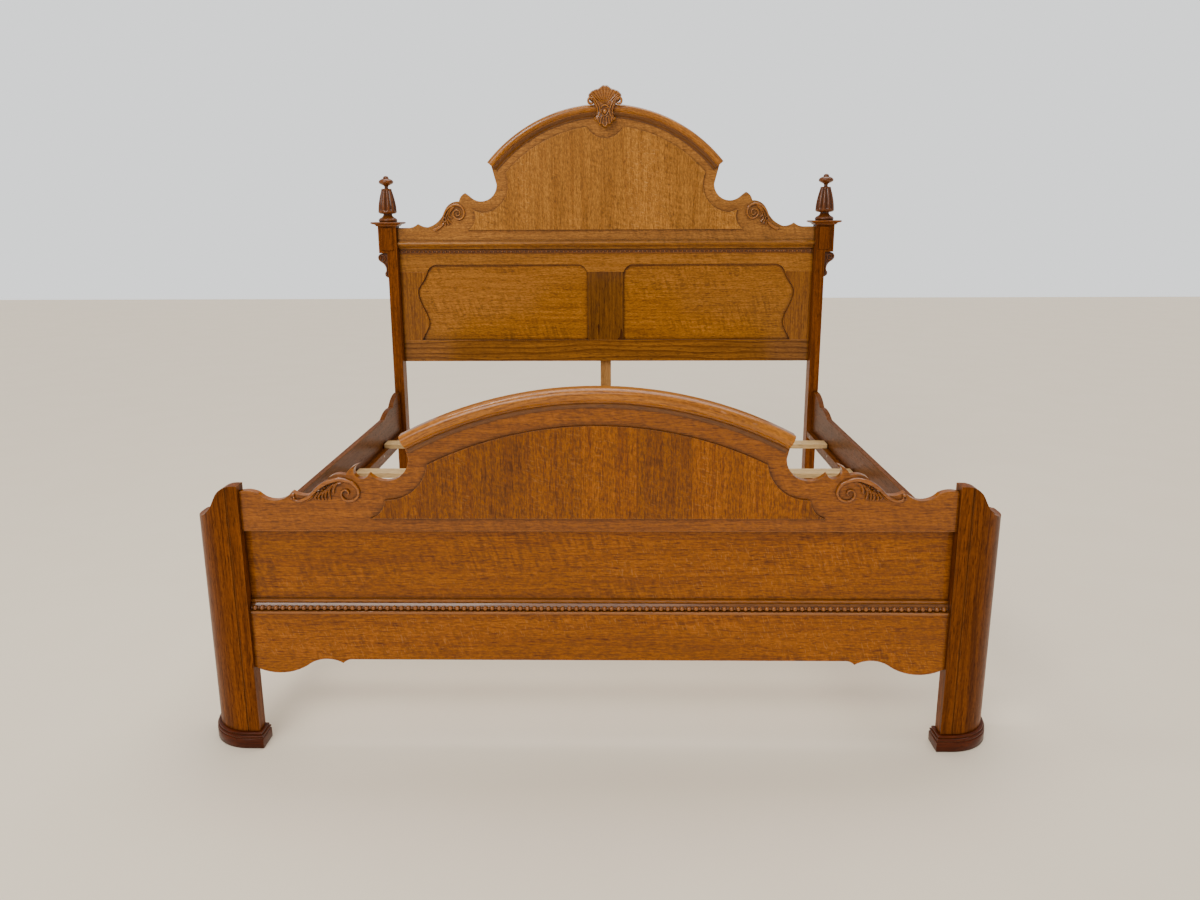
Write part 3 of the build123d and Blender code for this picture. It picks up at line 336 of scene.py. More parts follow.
def grain_group():
    """Oak: the grain runs along the vector's x, and y and z cross it.

    Streaks are long soft noise with darker lines among them, and pores are short dark dashes.
    Quarter-sawn oak has fine flecks, patches of slanting ripples and pale rays across the grain;
    cathedral adds a flat-sawn board's arches."""
    group, n, given, result = new_group("oak_grain", {
        "Vector": (VECTOR, (0, 0, 0)), "Light": (COLOUR, (0.5, 0.2, 0.05, 1)),
        "Dark": (COLOUR, (0.2, 0.06, 0.01, 1)), "Flecks": (NUMBER, 0.3), "Ripple": (NUMBER, 0.3),
        "Rays": (NUMBER, 0.0), "Cathedral": (NUMBER, 0.0), "Streaks": (NUMBER, 1.0)},
        {"Color": COLOUR, "Roughness": NUMBER, "Height": NUMBER})
    place = given["Vector"]
    sway = n.noise(place, (2.2, 9, 9), detail=1.0)
    sideways = n.math("MULTIPLY", n.math("SUBTRACT", sway, 0.5), 0.012)
    place = n.moved(place, n.combined(Y=sideways, Z=sideways))
    broad = n.noise(place, (1.1, 7, 7), detail=2.0)
    streak = n.noise(place, (2.8, 95, 95), detail=5.0, rough=0.7)
    pores = n.between(n.noise(place, (30, 420, 420), detail=2.0), 0.52, 0.68)
    across = n.add("ShaderNodeSeparateXYZ", {0: place}).outputs[1]
    slanted = n.moved(place, n.combined(X=n.math("MULTIPLY", across, 0.3)))
    flecks = n.between(n.noise(slanted, (85, 200, 200), detail=3.0, rough=0.65), 0.34, 0.66, -0.5, 0.5)
    patches = n.between(n.noise(place, (2.3, 11, 11), detail=1.0), 0.40, 0.62)
    ripple = n.between(n.noise(slanted, (74, 13, 13), detail=1.0, distortion=0.5), 0.34, 0.66, -0.5, 0.5)
    lines = n.between(n.noise(place, (0.8, 75, 75), detail=3.0), 0.57, 0.68)
    rays = n.between(n.noise(slanted, (260, 52, 52), detail=1.0, distortion=0.6), 0.60, 0.70)
    arches = n.add("ShaderNodeTexWave", {
        "Vector": n.stretched(place, (0.13, 1, 1)), "Scale": 20.0, "Distortion": 4.5,
        "Detail": 2.0, "Detail Scale": 1.0}, wave_type="RINGS", rings_direction="SPHERICAL",
        wave_profile="SAW").outputs["Fac"]
    streak_share = n.math("MULTIPLY", n.between(streak, 0.36, 0.66), given["Streaks"])
    arch_share = n.math("MULTIPLY", n.between(arches, 0.35, 1.0), given["Cathedral"])
    line_share = n.math("MULTIPLY", n.math("MULTIPLY", lines, given["Streaks"]), 0.8)
    dark_share = n.math("MAXIMUM", n.math("MAXIMUM", n.math("MULTIPLY", streak_share, 0.8), line_share),
                        arch_share)
    colour = n.mix(dark_share, given["Light"], given["Dark"])
    lift = n.between(broad, 0.3, 0.7, 0.90, 1.10)
    colour = n.brightened(colour, lift)
    swell = n.math("MULTIPLY", n.math("MULTIPLY", ripple, given["Ripple"]), patches)
    speckle = n.math("MULTIPLY", flecks, given["Flecks"])
    level = n.math("ADD", n.math("ADD", 1.0, speckle), swell)
    colour = n.brightened(colour, level)
    ray_share = n.math("MULTIPLY", n.math("MULTIPLY", rays, given["Rays"]), n.between(broad, 0.38, 0.60))
    colour = n.mix(ray_share, colour, n.mix(0.25, given["Light"], (1.0, 0.55, 0.18, 1)))
    colour = n.mix(n.math("MULTIPLY", pores, 0.7), colour,
                   n.mix(1.0, given["Dark"], (0.45, 0.38, 0.32, 1), "MULTIPLY"))
    rough = n.math("ADD", 0.30, n.math("MULTIPLY", pores, 0.14))
    rough = n.math("SUBTRACT", rough, n.math("MULTIPLY", speckle, 0.10))
    height = n.math("SUBTRACT", n.math("MULTIPLY", speckle, 0.2), pores)
    n.tree.links.new(colour, result.inputs["Color"])
    n.tree.links.new(rough, result.inputs["Roughness"])
    n.tree.links.new(height, result.inputs["Height"])
    return group


def finish_group():
    """What a rubbed glaze does, together with painted shade: dark in corners and recesses, where shade falls,
    and a little worn along edges.

    Edge is how far a rounded normal leans from the flat one; Corner is how shut in a place is."""
    group, n, given, result = new_group("glaze_shade_and_wear", {
        "Color": (COLOUR, (0.5, 0.2, 0.05, 1)), "Glaze and Shade": (COLOUR, (0.05, 0.015, 0.005, 1)),
        "Recess": (NUMBER, 0.0), "Corner Reach": (NUMBER, 0.014), "Corner Share": (NUMBER, 0.6),
        "Edge Radius": (NUMBER, 0.0015), "Edge Share": (NUMBER, 0.3)},
        {"Color": COLOUR, "Normal": VECTOR})
    rounded = n.add("ShaderNodeBevel", {"Radius": given["Edge Radius"]}, samples=4).outputs[0]
    flat = n.add("ShaderNodeNewGeometry", {}).outputs["Normal"]
    lean = n.add("ShaderNodeVectorMath", {0: rounded, 1: flat}, operation="DOT_PRODUCT").outputs["Value"]
    edge = n.math("MULTIPLY", n.between(lean, 0.99, 0.86), given["Edge Share"])
    # Ambient occlusion tells how shut in a place is; the darkening taken from it is painted shade.
    shut = n.add("ShaderNodeAmbientOcclusion", {"Distance": given["Corner Reach"]}, samples=4).outputs["AO"]
    corner = n.math("MULTIPLY", n.between(shut, 0.95, 0.42), given["Corner Share"])
    # Corners and recesses are mixed towards the glaze colour: partly a real dark glaze, partly painted shade.
    glaze_and_shade = n.math("MAXIMUM", corner, n.math("MULTIPLY", given["Recess"], 0.75))
    colour = n.mix(edge, given["Color"], n.mix(0.5, given["Color"], (0.95, 0.55, 0.25, 1)))
    colour = n.mix(glaze_and_shade, colour, given["Glaze and Shade"])
    n.tree.links.new(colour, result.inputs["Color"])
    n.tree.links.new(rounded, result.inputs["Normal"])
    return group


def turned_grain(n, place, grain):
    """Object coordinates turned so that the grain runs along x.

    grain is "x", "y" or "z", or the height of an arch's centre, for grain that runs round it."""
    x, y, z = n.add("ShaderNodeSeparateXYZ", {0: place}).outputs
    if grain == "x":
        parts = (x, z, y)
    elif grain == "y":
        parts = (y, z, x)
    elif grain == "z":
        parts = (z, x, y)
    else:
        up = n.math("SUBTRACT", z, grain)
        far = n.math("SQRT", n.math("ADD", n.math("MULTIPLY", x, x), n.math("MULTIPLY", up, up)))
        parts = (n.math("MULTIPLY", n.math("ARCTAN2", x, up), far), far, y)
    return n.add("ShaderNodeCombineXYZ", dict(enumerate(parts))).outputs[0]


OAK_LIGHT = (0.305, 0.089, 0.002, 1)
OAK_DARK = (0.145, 0.034, 0.001, 1)
# Dark glaze colour. It is also the colour of the painted shade in corners and recesses and below the arch
# mouldings' noses.
GLAZE_AND_SHADE = (0.045, 0.011, 0.001, 1)


def oak(name, grain, light=OAK_LIGHT, dark=OAK_DARK, flecks=0.3, ripple=0.3, rays=0.0,
        cathedral=0.0, streaks=0.7, coat=0.2, gloss=0.15, edge=0.0016, corner=0.7, leaf_width=0.0,
        shift=(0, 0, 0), hollow=0.0):
    """Lacquered oak. leaf_width, where given, makes veneer leaves side by side along x.

    hollow, on a bent moulding, is the radius inside which a painted shadow darkens the band below its nose."""
    material = bpy.data.materials.new(name)
    material.use_nodes = True
    n = Nodes(material.node_tree)
    n.tree.nodes.clear()
    place = n.add("ShaderNodeTexCoord", {}).outputs["Object"]
    place = n.add("ShaderNodeMapping", {"Vector": place, "Location": shift}).outputs[0]
    seam = None
    if leaf_width:
        x = n.add("ShaderNodeSeparateXYZ", {0: place}).outputs[0]
        number = n.math("FLOOR", n.math("DIVIDE", x, leaf_width))
        off_middle = n.math("SUBTRACT", n.math("FRACT", n.math("DIVIDE", x, leaf_width)), 0.5)
        seam = n.between(n.math("ABSOLUTE", off_middle), 0.490, 0.498)
        leap = n.math("MULTIPLY", number, 0.731)
        place = n.moved(place, n.combined(Y=leap, Z=leap))
    grain_place = turned_grain(n, place, grain)
    figure = n.add("ShaderNodeGroup", {}, node_tree=OAK_GRAIN)
    for socket, value in (("Light", light), ("Dark", dark), ("Flecks", flecks),
                          ("Ripple", ripple), ("Rays", rays), ("Cathedral", cathedral), ("Streaks", streaks)):
        figure.inputs[socket].default_value = value
    n.tree.links.new(grain_place, figure.inputs["Vector"])
    colour = figure.outputs["Color"]
    if seam is not None:
        tone = n.add("ShaderNodeTexWhiteNoise", {"W": number}, noise_dimensions="1D").outputs["Value"]
        level = n.between(tone, 0.0, 1.0, 0.80, 1.12)
        colour = n.brightened(colour, level)
        colour = n.mix(n.math("MULTIPLY", seam, 0.55), colour, dark)
    # A carving's recess values darken it towards the glaze colour: glaze and painted shade.
    recess = n.add("ShaderNodeAttribute", {}, attribute_name="recess").outputs["Fac"]
    # Painted shadow: a dark band on the arch moulding below its nose, where its shade falls.
    if hollow:
        far = n.add("ShaderNodeSeparateXYZ", {0: grain_place}).outputs[1]
        blend = 6 * mm
        recess = n.between(far, hollow - blend, hollow + blend, 0.9, 0.0)
    aged = n.add("ShaderNodeGroup", {"Color": colour, "Recess": recess}, node_tree=GLAZE_SHADE_AND_WEAR)
    aged.inputs["Glaze and Shade"].default_value = GLAZE_AND_SHADE
    aged.inputs["Edge Radius"].default_value = edge
    # corner sets how strongly glaze and painted shade darken corners and recesses.
    aged.inputs["Corner Share"].default_value = corner
    bump = n.add("ShaderNodeBump", {"Height": figure.outputs["Height"], "Strength": 0.12,
                                    "Distance": 0.0006, "Normal": aged.outputs["Normal"]})
    shader = n.add("ShaderNodeBsdfPrincipled", {
        "Base Color": aged.outputs["Color"], "Roughness": figure.outputs["Roughness"],
        "Normal": bump.outputs[0], "Specular IOR Level": gloss, "Coat Weight": coat,
        "Coat Roughness": 0.09})
    n.add("ShaderNodeOutputMaterial", {"Surface": shader.outputs[0]})
    return material


def plain_material(name, colour, darker, roughness, metallic=0.0, scale=120.0):
    """Metal, plastic or floor: two close tones in soft noise, with a matching fine bump."""
    material = bpy.data.materials.new(name)
    material.use_nodes = True
    n = Nodes(material.node_tree)
    n.tree.nodes.clear()
    place = n.add("ShaderNodeTexCoord", {}).outputs["Object"]
    cloud = n.noise(place, (scale, scale, scale), detail=4.0)
    tint = n.mix(n.between(cloud, 0.35, 0.65), colour, darker)
    rough = n.between(cloud, 0.3, 0.7, roughness - 0.06, roughness + 0.06)
    bump = n.add("ShaderNodeBump", {"Height": cloud, "Strength": 0.1, "Distance": 0.0003})
    shader = n.add("ShaderNodeBsdfPrincipled", {"Base Color": tint, "Roughness": rough,
                                                "Metallic": metallic, "Normal": bump.outputs[0]})
    n.add("ShaderNodeOutputMaterial", {"Surface": shader.outputs[0]})
    return material


def paint(material, *nodes):
    """Gives CAD nodes a material."""
    for node in nodes:
        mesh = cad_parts[node].data
        mesh.materials.clear()
        mesh.materials.append(material)


OAK_GRAIN = grain_group()
GLAZE_SHADE_AND_WEAR = finish_group()
foot_arch_tall = 52 * mm
head_arch_tall = 58 * mm
arch_nose = 36 * mm
foot_arch_centre = arc_centre("footboard_arch_moulding", foot_arch_tall)
head_arch_centre = arc_centre("headboard_arch_moulding", head_arch_tall)
# Radius below which each arch moulding gets a painted shadow under its nose.
foot_arch_shadow_radius = highest("footboard_arch_moulding")[2] - foot_arch_centre - arch_nose
head_arch_shadow_radius = highest("headboard_arch_moulding")[2] - head_arch_centre - arch_nose
foot_leaf_width = 143.7 * mm
foot_leaf_shift = 40.5 * mm
oak_across = oak("oak_board_across", "x", flecks=0.5, ripple=0.38, rays=0.3)
oak_crest = oak("oak_crest_board", "x", light=(0.30, 0.087, 0.003, 1), dark=(0.15, 0.038, 0.001, 1),
                flecks=0.4, ripple=0.2, coat=0.4, edge=0.004)
# Its tones are darker than the boards': partly the posts' own tone, partly painted shade on fronts that face
# away from the ceiling light.
oak_upright = oak("oak_post_upright", "z", light=(0.215, 0.058, 0.005, 1), dark=(0.07, 0.016, 0.002, 1),
                  flecks=0.3, ripple=0.1, streaks=1.0, coat=0.0, gloss=0.06)
# Darker than the other oak: painted shade for the rails' inner faces, which face in under the bed.
oak_rail_shaded = oak("oak_side_rail_shaded", "y", light=(0.15, 0.040, 0.002, 1), dark=(0.065, 0.015, 0.001, 1),
               flecks=0.3, coat=0.0, gloss=0.05, edge=0.003)
oak_flat_sawn = oak("oak_flat_sawn_across", "x", light=(0.32, 0.122, 0.018, 1),
                    dark=(0.11, 0.034, 0.003, 1), flecks=0.2, ripple=0.1, cathedral=0.9, streaks=0.7)
oak_stile = oak("oak_flat_sawn_upright", "z", light=(0.215, 0.078, 0.009, 1),
                dark=(0.060, 0.017, 0.002, 1), flecks=0.2, ripple=0.1, cathedral=1.0, streaks=0.8)
oak_foot_veneer = oak("oak_veneer_leaves", "z", flecks=0.6, ripple=0.25, rays=0.3, streaks=0.8,
                      leaf_width=foot_leaf_width, shift=(foot_leaf_shift, 0, 0), edge=0.003)
# The headboard's oak is lighter than the footboard's: partly its own yellower tone, partly painted light
# making up for the light the headboard gets from above.
oak_head_board = oak("oak_head_across", "x", light=(0.38, 0.148, 0.019, 1), dark=(0.19, 0.062, 0.006, 1),
                     flecks=0.4, ripple=0.2)
oak_head_crest = oak("oak_head_crest_board", "x", light=(0.40, 0.162, 0.026, 1),
                     dark=(0.21, 0.074, 0.009, 1), flecks=0.5, ripple=0.25, coat=0.4, edge=0.004)
oak_head_stile = oak("oak_head_stile", "z", light=(0.34, 0.122, 0.013, 1), dark=(0.16, 0.047, 0.004, 1),
                     flecks=0.3, ripple=0.1, streaks=1.0)
oak_head_veneer = oak("oak_veneer_crest", "z", light=(0.435, 0.178, 0.026, 1),
                      dark=(0.24, 0.085, 0.010, 1), flecks=0.6, ripple=0.3, rays=0.9, streaks=0.8,
                      edge=0.003)
oak_head_panel = oak("oak_veneer_lower", "x", light=(0.365, 0.138, 0.015, 1),
                     dark=(0.18, 0.058, 0.005, 1), flecks=0.5, ripple=0.35, streaks=0.8,
                     corner=0.95)
# The arch mouldings' lighter tones are partly painted light, for upper faces that catch the ceiling light.
oak_foot_arch = oak("oak_bent_foot_arch", foot_arch_centre, light=(0.42, 0.140, 0.006, 1),
                    dark=(0.24, 0.068, 0.002, 1), flecks=0.4, ripple=0.1, streaks=0.9, coat=0.7,
                    hollow=foot_arch_shadow_radius)
oak_head_arch = oak("oak_bent_head_arch", head_arch_centre, light=(0.42, 0.150, 0.012, 1),
                    dark=(0.22, 0.066, 0.004, 1), flecks=0.4, ripple=0.1, streaks=0.9, coat=0.7,
                    hollow=head_arch_shadow_radius)
oak_carving = oak("oak_carving", "x", light=(0.34, 0.102, 0.004, 1), dark=(0.19, 0.049, 0.001, 1),
                  flecks=0.2, ripple=0.1, streaks=0.5, coat=1.0, edge=0.0005, corner=0.7)
oak_head_carving = oak("oak_head_carving", "x", light=(0.44, 0.155, 0.014, 1),
                       dark=(0.27, 0.083, 0.006, 1), flecks=0.2, ripple=0.1, streaks=0.5, coat=1.0,
                       edge=0.0005, corner=0.75)
oak_beads = oak("oak_beads", "x", light=(0.31, 0.096, 0.005, 1), dark=(0.19, 0.053, 0.002, 1),
                flecks=0.1, ripple=0.1, streaks=0.4, coat=1.0, edge=0.0005, corner=0.8)
oak_turning = oak("oak_turning", "z", light=(0.19, 0.054, 0.006, 1), dark=(0.08, 0.020, 0.002, 1),
                  flecks=0.2, ripple=0.1, streaks=0.8, coat=0.5, edge=0.0005, corner=0.8)
oak_cap = oak("oak_post_cap", "x", light=(0.26, 0.074, 0.004, 1), dark=(0.11, 0.026, 0.001, 1),
              flecks=0.3, ripple=0.1, streaks=0.9)
oak_plinth = oak("oak_plinth_dark", "x", light=(0.10, 0.016, 0.001, 1), dark=(0.04, 0.006, 0.001, 1),
                 flecks=0.1, ripple=0.1, streaks=0.8, coat=0.15, gloss=0.1)
pine = oak("pine_slat", "x", light=(0.66, 0.46, 0.22, 1), dark=(0.50, 0.31, 0.13, 1), flecks=0.0,
           ripple=0.0, cathedral=0.4, streaks=0.5, coat=0.0, corner=0.2)
pine_upright = oak("pine_leg", "z", light=(0.42, 0.21, 0.065, 1), dark=(0.27, 0.115, 0.03, 1), flecks=0.0,
                   ripple=0.0, cathedral=0.3, streaks=0.6, coat=0.1, corner=0.3)
steel = plain_material("zinc_steel", (0.62, 0.60, 0.55, 1), (0.48, 0.47, 0.44, 1), 0.34, metallic=1.0)
glide_plastic = plain_material("glide_plastic", (0.05, 0.045, 0.04, 1), (0.03, 0.028, 0.025, 1), 0.55)

paint(oak_across, "footboard_skirt", "footboard_middle_panel")
paint(oak_crest, "footboard_crest_board")
paint(oak_head_crest, "headboard_crest_board")
paint(oak_head_board, "headboard_top_rail", "headboard_cornice", "headboard_back_rail")
paint(oak_upright, "footboard_post_left", "footboard_post_right", "headboard_post_left",
      "headboard_post_right", "post_cheek_left", "post_cheek_right", "post_plaques")
paint(oak_head_stile, "headboard_stile_left", "headboard_stile_right")
paint(oak_rail_shaded, "side_rail_left", "side_rail_right", "slat_ledger_left", "slat_ledger_right")
paint(oak_flat_sawn, "headboard_bottom_rail")
paint(oak_stile, "headboard_centre_stile")
paint(oak_foot_veneer, "footboard_arch_panel")
paint(oak_head_veneer, "headboard_crest_panel")
paint(oak_head_panel, "headboard_lower_panel_left", "headboard_lower_panel_right")
paint(oak_foot_arch, "footboard_arch_moulding")
paint(oak_head_arch, "headboard_arch_moulding")
paint(pine, "slat_1", "slat_2", "slat_3", "slat_4")
paint(pine_upright, "support_leg_2", "support_leg_3", "headboard_centre_leg")
paint(steel, "ledger_screws", "post_pins", "rail_hook_plates", "centre_leg_bolts")
paint(glide_plastic, "headboard_glides", "leg_glide_2", "leg_glide_3")


# ---------------------------------------------------------------- carvings
def strand(knots, half_width, relief, origin, face_y, side, tips=(0.12, 0.12), vein=0.0, across=9):
    """One carved band: knots, widths and reliefs in mm from origin; side -1 mirrors it.

    half_width and relief are lists of values spread evenly along the band."""
    path = smooth_curve(knots, 14 * len(knots))
    steps = len(path)
    t = np.linspace(0, 1, steps)
    edge = taper(steps, *tips)
    widths = np.interp(t, np.linspace(0, 1, len(half_width)), half_width) * edge
    heights = np.interp(t, np.linspace(0, 1, len(relief)), relief) * (0.35 + 0.65 * edge)
    place = np.array(origin) + path * mm * [side, 1]
    return band(place, widths * mm, heights * mm, face_y, vein, across)


def bead(x, z, radius, relief, origin, face_y, side):
    """Round bead of a carving, in mm from origin."""
    centre = (origin[0] + side * x * mm, origin[1] + z * mm)
    return dome(centre, (radius * mm, radius * mm), relief * mm, face_y)


def foot_scroll(side):
    """Volute that unrolls into a long stem with drooping leaves, a row of pearls and an end bead."""
    from_end, above_base = 283 * mm, 107 * mm
    origin = (side * (foot_half - from_end), foot_crest_base + above_base)
    place = (origin, foot_board_face, side)
    stem = [(136, -9), (137, -17), (130, -22), (117, -21), (100, -13), (88, -3), (76, 9), (63, 19),
            (42, 30), (18, 36), (0, 34), (-19, 27), (-32, 12), (-34, -4), (-25, -17), (-10, -22.5),
            (3, -19), (10.5, -8.5), (9, 3), (1.5, 8), (-7, 5), (-8.5, -2.5), (-3, -6)]
    pieces = [strand(stem, [2.6, 4.2, 4.6, 5.5, 6.5, 6, 4.8, 4.2, 4, 3.4, 2.8, 2.4],
                     [6, 8, 9, 9.5, 9.5, 9, 8.5, 8, 7.5, 7, 7.5, 8.5], *place, tips=(0.02, 0.03))]
    fronds = [[(3, 30), (21, 25), (30, 12), (32, -4)], [(20, 29), (35, 18), (43, 2), (40, -20)],
              [(37, 22), (48, 6), (53, -9), (51, -21)], [(47, 12), (58, -1), (61, -12), (58, -21)],
              [(56, 6), (67, -4), (71, -13), (68, -22)], [(68, 4), (77, -7), (80, -13), (77, -19)],
              [(75, 6), (87, -8), (97, -17), (107, -21)]]
    for number, knots in enumerate(fronds):
        wide = 3.6 if number else 4.2
        pieces.append(strand(knots, [2.0, wide, wide, wide * 0.9, wide * 0.75], [4, 7.5, 8, 7.5, 5.5],
                             *place, tips=(0.2, 0.16), vein=0.22))
    for x, z, radius in ((41, 23.5, 1.9), (47, 19.5, 2.4), (53.5, 14, 3.1), (59, 7.5, 3.2), (68, 11, 3.4)):
        pieces.append(bead(x, z, radius, 9, *place))
    pieces.append(bead(139, -6, 5.2, 8, *place))
    pieces.append(bead(144, -17, 2.8, 5, *place))
    name = hand(side)
    make_piece("carved_foot_scroll_" + name, joined(pieces), oak_carving,
                      ["footboard_scroll_" + name])


def head_scroll(side):
    """Tighter volute with ridged leaf below it, an oval eye and a drop-shaped tail."""
    from_end, above_base = 284 * mm, 123 * mm
    origin = (side * (head_half - from_end), head_crest_base + above_base)
    place = (origin, head_board_face, side)
    stem = [(66, -24), (64, -10), (55, 9), (44, 21), (30, 31), (10, 38.5), (-12, 34), (-27, 19),
            (-31, -1), (-24, -19), (-8, -27), (8, -23), (19, -9), (18, 6), (6, 14), (-7, 11.5),
            (-12.5, 0), (-8, -10), (2, -10.5), (6, -3), (2, 1)]
    pieces = [strand(stem, [4.5, 5.5, 6, 5.5, 4.8, 4.4, 4.2, 3.6, 3.2, 2.8],
                     [7, 9, 9.5, 9, 8, 8, 7.5, 7, 7.5, 8.5], *place, tips=(0.04, 0.03))]
    ridges = [[(4, 33), (22, 27), (37, 13), (48, -6), (54, -22)],
              [(12, 28), (26, 17), (36, 2), (42, -14)],
              [(42, -8), (36, -16), (29, -22), (31, -27)],
              [(45, -18), (41, -31), (33, -40), (27, -41)],
              [(50, -28), (47, -42), (42, -49), (36, -48)],
              [(55, -38), (58, -50), (55, -59)],
              [(66, -18), (70, -32), (78, -46), (88, -58)]]
    for knots in ridges:
        pieces.append(strand(knots, [2.4, 4.2, 4.4, 3.8, 3.0], [4, 8, 8.5, 7.5, 5.5], *place,
                             tips=(0.2, 0.2), vein=0.2))
    ring = [(60 + 6.5 * cos(a), -29 + 9 * sin(a)) for a in np.linspace(0.4, 2 * pi + 0.4, 13)]
    pieces.append(strand(ring, [2.2, 2.2], [8.5, 8.5], *place, tips=(0.02, 0.02)))
    tail = [(62, -38), (70, -48), (83, -60), (97, -69), (110, -73), (118, -70)]
    pieces.append(strand(tail, [4, 6, 7, 7.5, 8, 6.5], [7, 9, 9, 9, 8, 7], *place, tips=(0.1, 0.12),
                         vein=0.12))
    name = hand(side)
    make_piece("carved_head_scroll_" + name, joined(pieces), oak_head_carving,
                      ["headboard_scroll_" + name])


def ribbed_fan(origin, face_y, ribs, spread, steps=(26, 121)):
    """Scooped shell: u runs out from the hinge, and the angle a across the fan.

    The edge's distance from the hinge has a middle lobe, two shoulders and a nick at each rib. In mm
    the surface stands forward by 17, plus a scoop 7 u^2, plus ribs 4.6 |cos| u^0.7, plus a lip of 4
    round u = 0.93; it thins towards u = 1, and towards the sides it sinks by 6 |share of a|^3."""
    u = np.linspace(0, 1, steps[0])[:, None]
    a = np.linspace(-spread, spread, steps[1])[None, :]
    share = a / spread
    shoulders = smooth_curve([(0, 88.5), (0.1, 88), (0.19, 84), (0.27, 80), (0.4, 81), (0.7, 88), (0.88, 86),
                              (1, 75)], 60)
    reach = np.interp(np.abs(share), *shoulders.T) - 1.4 * np.cos(ribs * pi * share / 2) ** 8
    x = reach * u * np.sin(a)
    z = reach * u * np.cos(a)
    rib = np.abs(np.cos(ribs * pi * share / 2))
    forward = 17 + 7 * u ** 2 + 4.6 * rib * u ** 0.7 + 4.0 * np.exp(-((u - 0.93) / 0.06) ** 2)
    forward = forward * np.sqrt(np.clip(1 - u ** 24, 0.02, 1))
    side_dip = 6.0 * np.abs(share) ** 3
    points = np.stack((origin[0] + x * mm, face_y - (forward - side_dip) * mm, origin[1] + z * mm), -1)
    # Darker between the ribs and towards the hinge, and fully dark on the back: glaze and painted shade in
    # the shell's hollows.
    recess = np.clip((1 - rib) ** 3 * 0.9 + 0.3 * (1 - u), 0, 1)
    back_plane = face_y + 4 * mm
    back = points * [1, 0, 1] + [0, back_plane, 0]
    shell = np.concatenate((points, back[::-1]))
    return sheet_of(shell, recess=np.concatenate((recess, np.ones_like(recess))))


def shell_crest():
    """Shell over the arch: fan, curled ears, a pinched waist with a boss, and a fringe below."""
    front = lowest("shell_carving")[1]
    ground = front + 24 * mm
    plate_face = front + 10 * mm
    relief_face = front + 12 * mm
    hinge_face = front + 26 * mm
    origin = (0.0, arch_apex)
    half = smooth_curve([(0, 62), (22, 57), (46, 46), (62, 32), (68, 18), (64, 7), (54, 2), (42, -14),
                         (33, -34), (38, -52), (44, -66), (34, -76), (24, -84), (12, -92), (0, -97)], 90)
    outline = np.concatenate((half, half[-2:0:-1] * [-1, 1]))[::-1]
    pieces = [extruded(outline * mm + np.array(origin), plate_face, ground, 3 * mm)]
    pieces.append(ribbed_fan((0.0, arch_apex - 12 * mm), hinge_face, ribs=11, spread=radians(68)))
    for side in (-1, 1):
        place = (origin, relief_face, side)
        ears = [[(63, 9), (58, 14), (62, 21), (70, 20), (74, 11), (71, 1), (60, -2), (50, 0)],
                [(64, 33), (52, 24), (40, 10), (30, -6), (23, -22), (21, -40), (26, -54), (34, -64),
                 (41, -70), (45, -66)],
                [(60, 28), (56, 22), (47, 8), (38, -8), (33, -24), (33, -40), (37, -52)]]
        pieces.append(strand(ears[0], [3, 5, 5.5, 5.5, 6, 5, 4], [12, 12, 12, 12, 11, 10, 7], *place))
        pieces.append(strand(ears[1], [4.5, 4.5, 4.2, 3.8, 3.6, 3.2, 3.2], [13, 13, 12, 11, 10, 9, 9],
                             *place, tips=(0.08, 0.04)))
        pieces.append(strand(ears[2], [3.6, 3.8, 3.4, 3, 2.6], [10, 10, 9, 8, 7], *place))
        pieces.append(bead(45, -66, 5.2, 11, *place))
        loop = [(22, -88), (19, -78), (17, -66), (12, -57), (6.5, -62), (6.5, -74), (9, -86)]
        pieces.append(strand(loop, [3.4, 2.6, 2.4, 2.4, 2.4, 2.6], [9, 9.5, 10, 10, 9.5, 8], *place,
                             tips=(0.06, 0.06)))
        pieces.append(bead(22, -87, 4.8, 10, *place))
        pieces.append(strand([(30, -62), (31, -72), (28, -82)], [2.6, 3.2, 2.6], [8, 8.5, 7], *place))
        tongue = [(9, -80), (8, -90), (4, -98), (0, -101)]
        pieces.append(strand(tongue, [2.4, 2.8, 3.2, 3.2], [9, 10, 10, 10], *place, tips=(0.1, 0.02)))
    middle = (origin, relief_face, 1)
    pieces.append(strand([(-19, -24), (-12, -14), (0, -10), (12, -14), (19, -24)], [3.4, 3.8, 4, 3.8, 3.4],
                         [9, 12, 12, 12, 9], *middle))
    boss = (0.0, arch_apex - 36 * mm)
    pieces.append(dome(boss, (12 * mm, 14 * mm), 11 * mm, relief_face, rings=10, around=32))
    pieces.append(strand([(-14, -22), (-16, -36), (-8, -51), (0, -54), (8, -51), (16, -36), (14, -22)],
                         [2.2, 2.6, 2.8, 2.8, 2.6, 2.2], [7, 9, 9, 9, 7], *middle))
    make_piece("carved_shell", joined(pieces), oak_head_carving, ["shell_carving"])


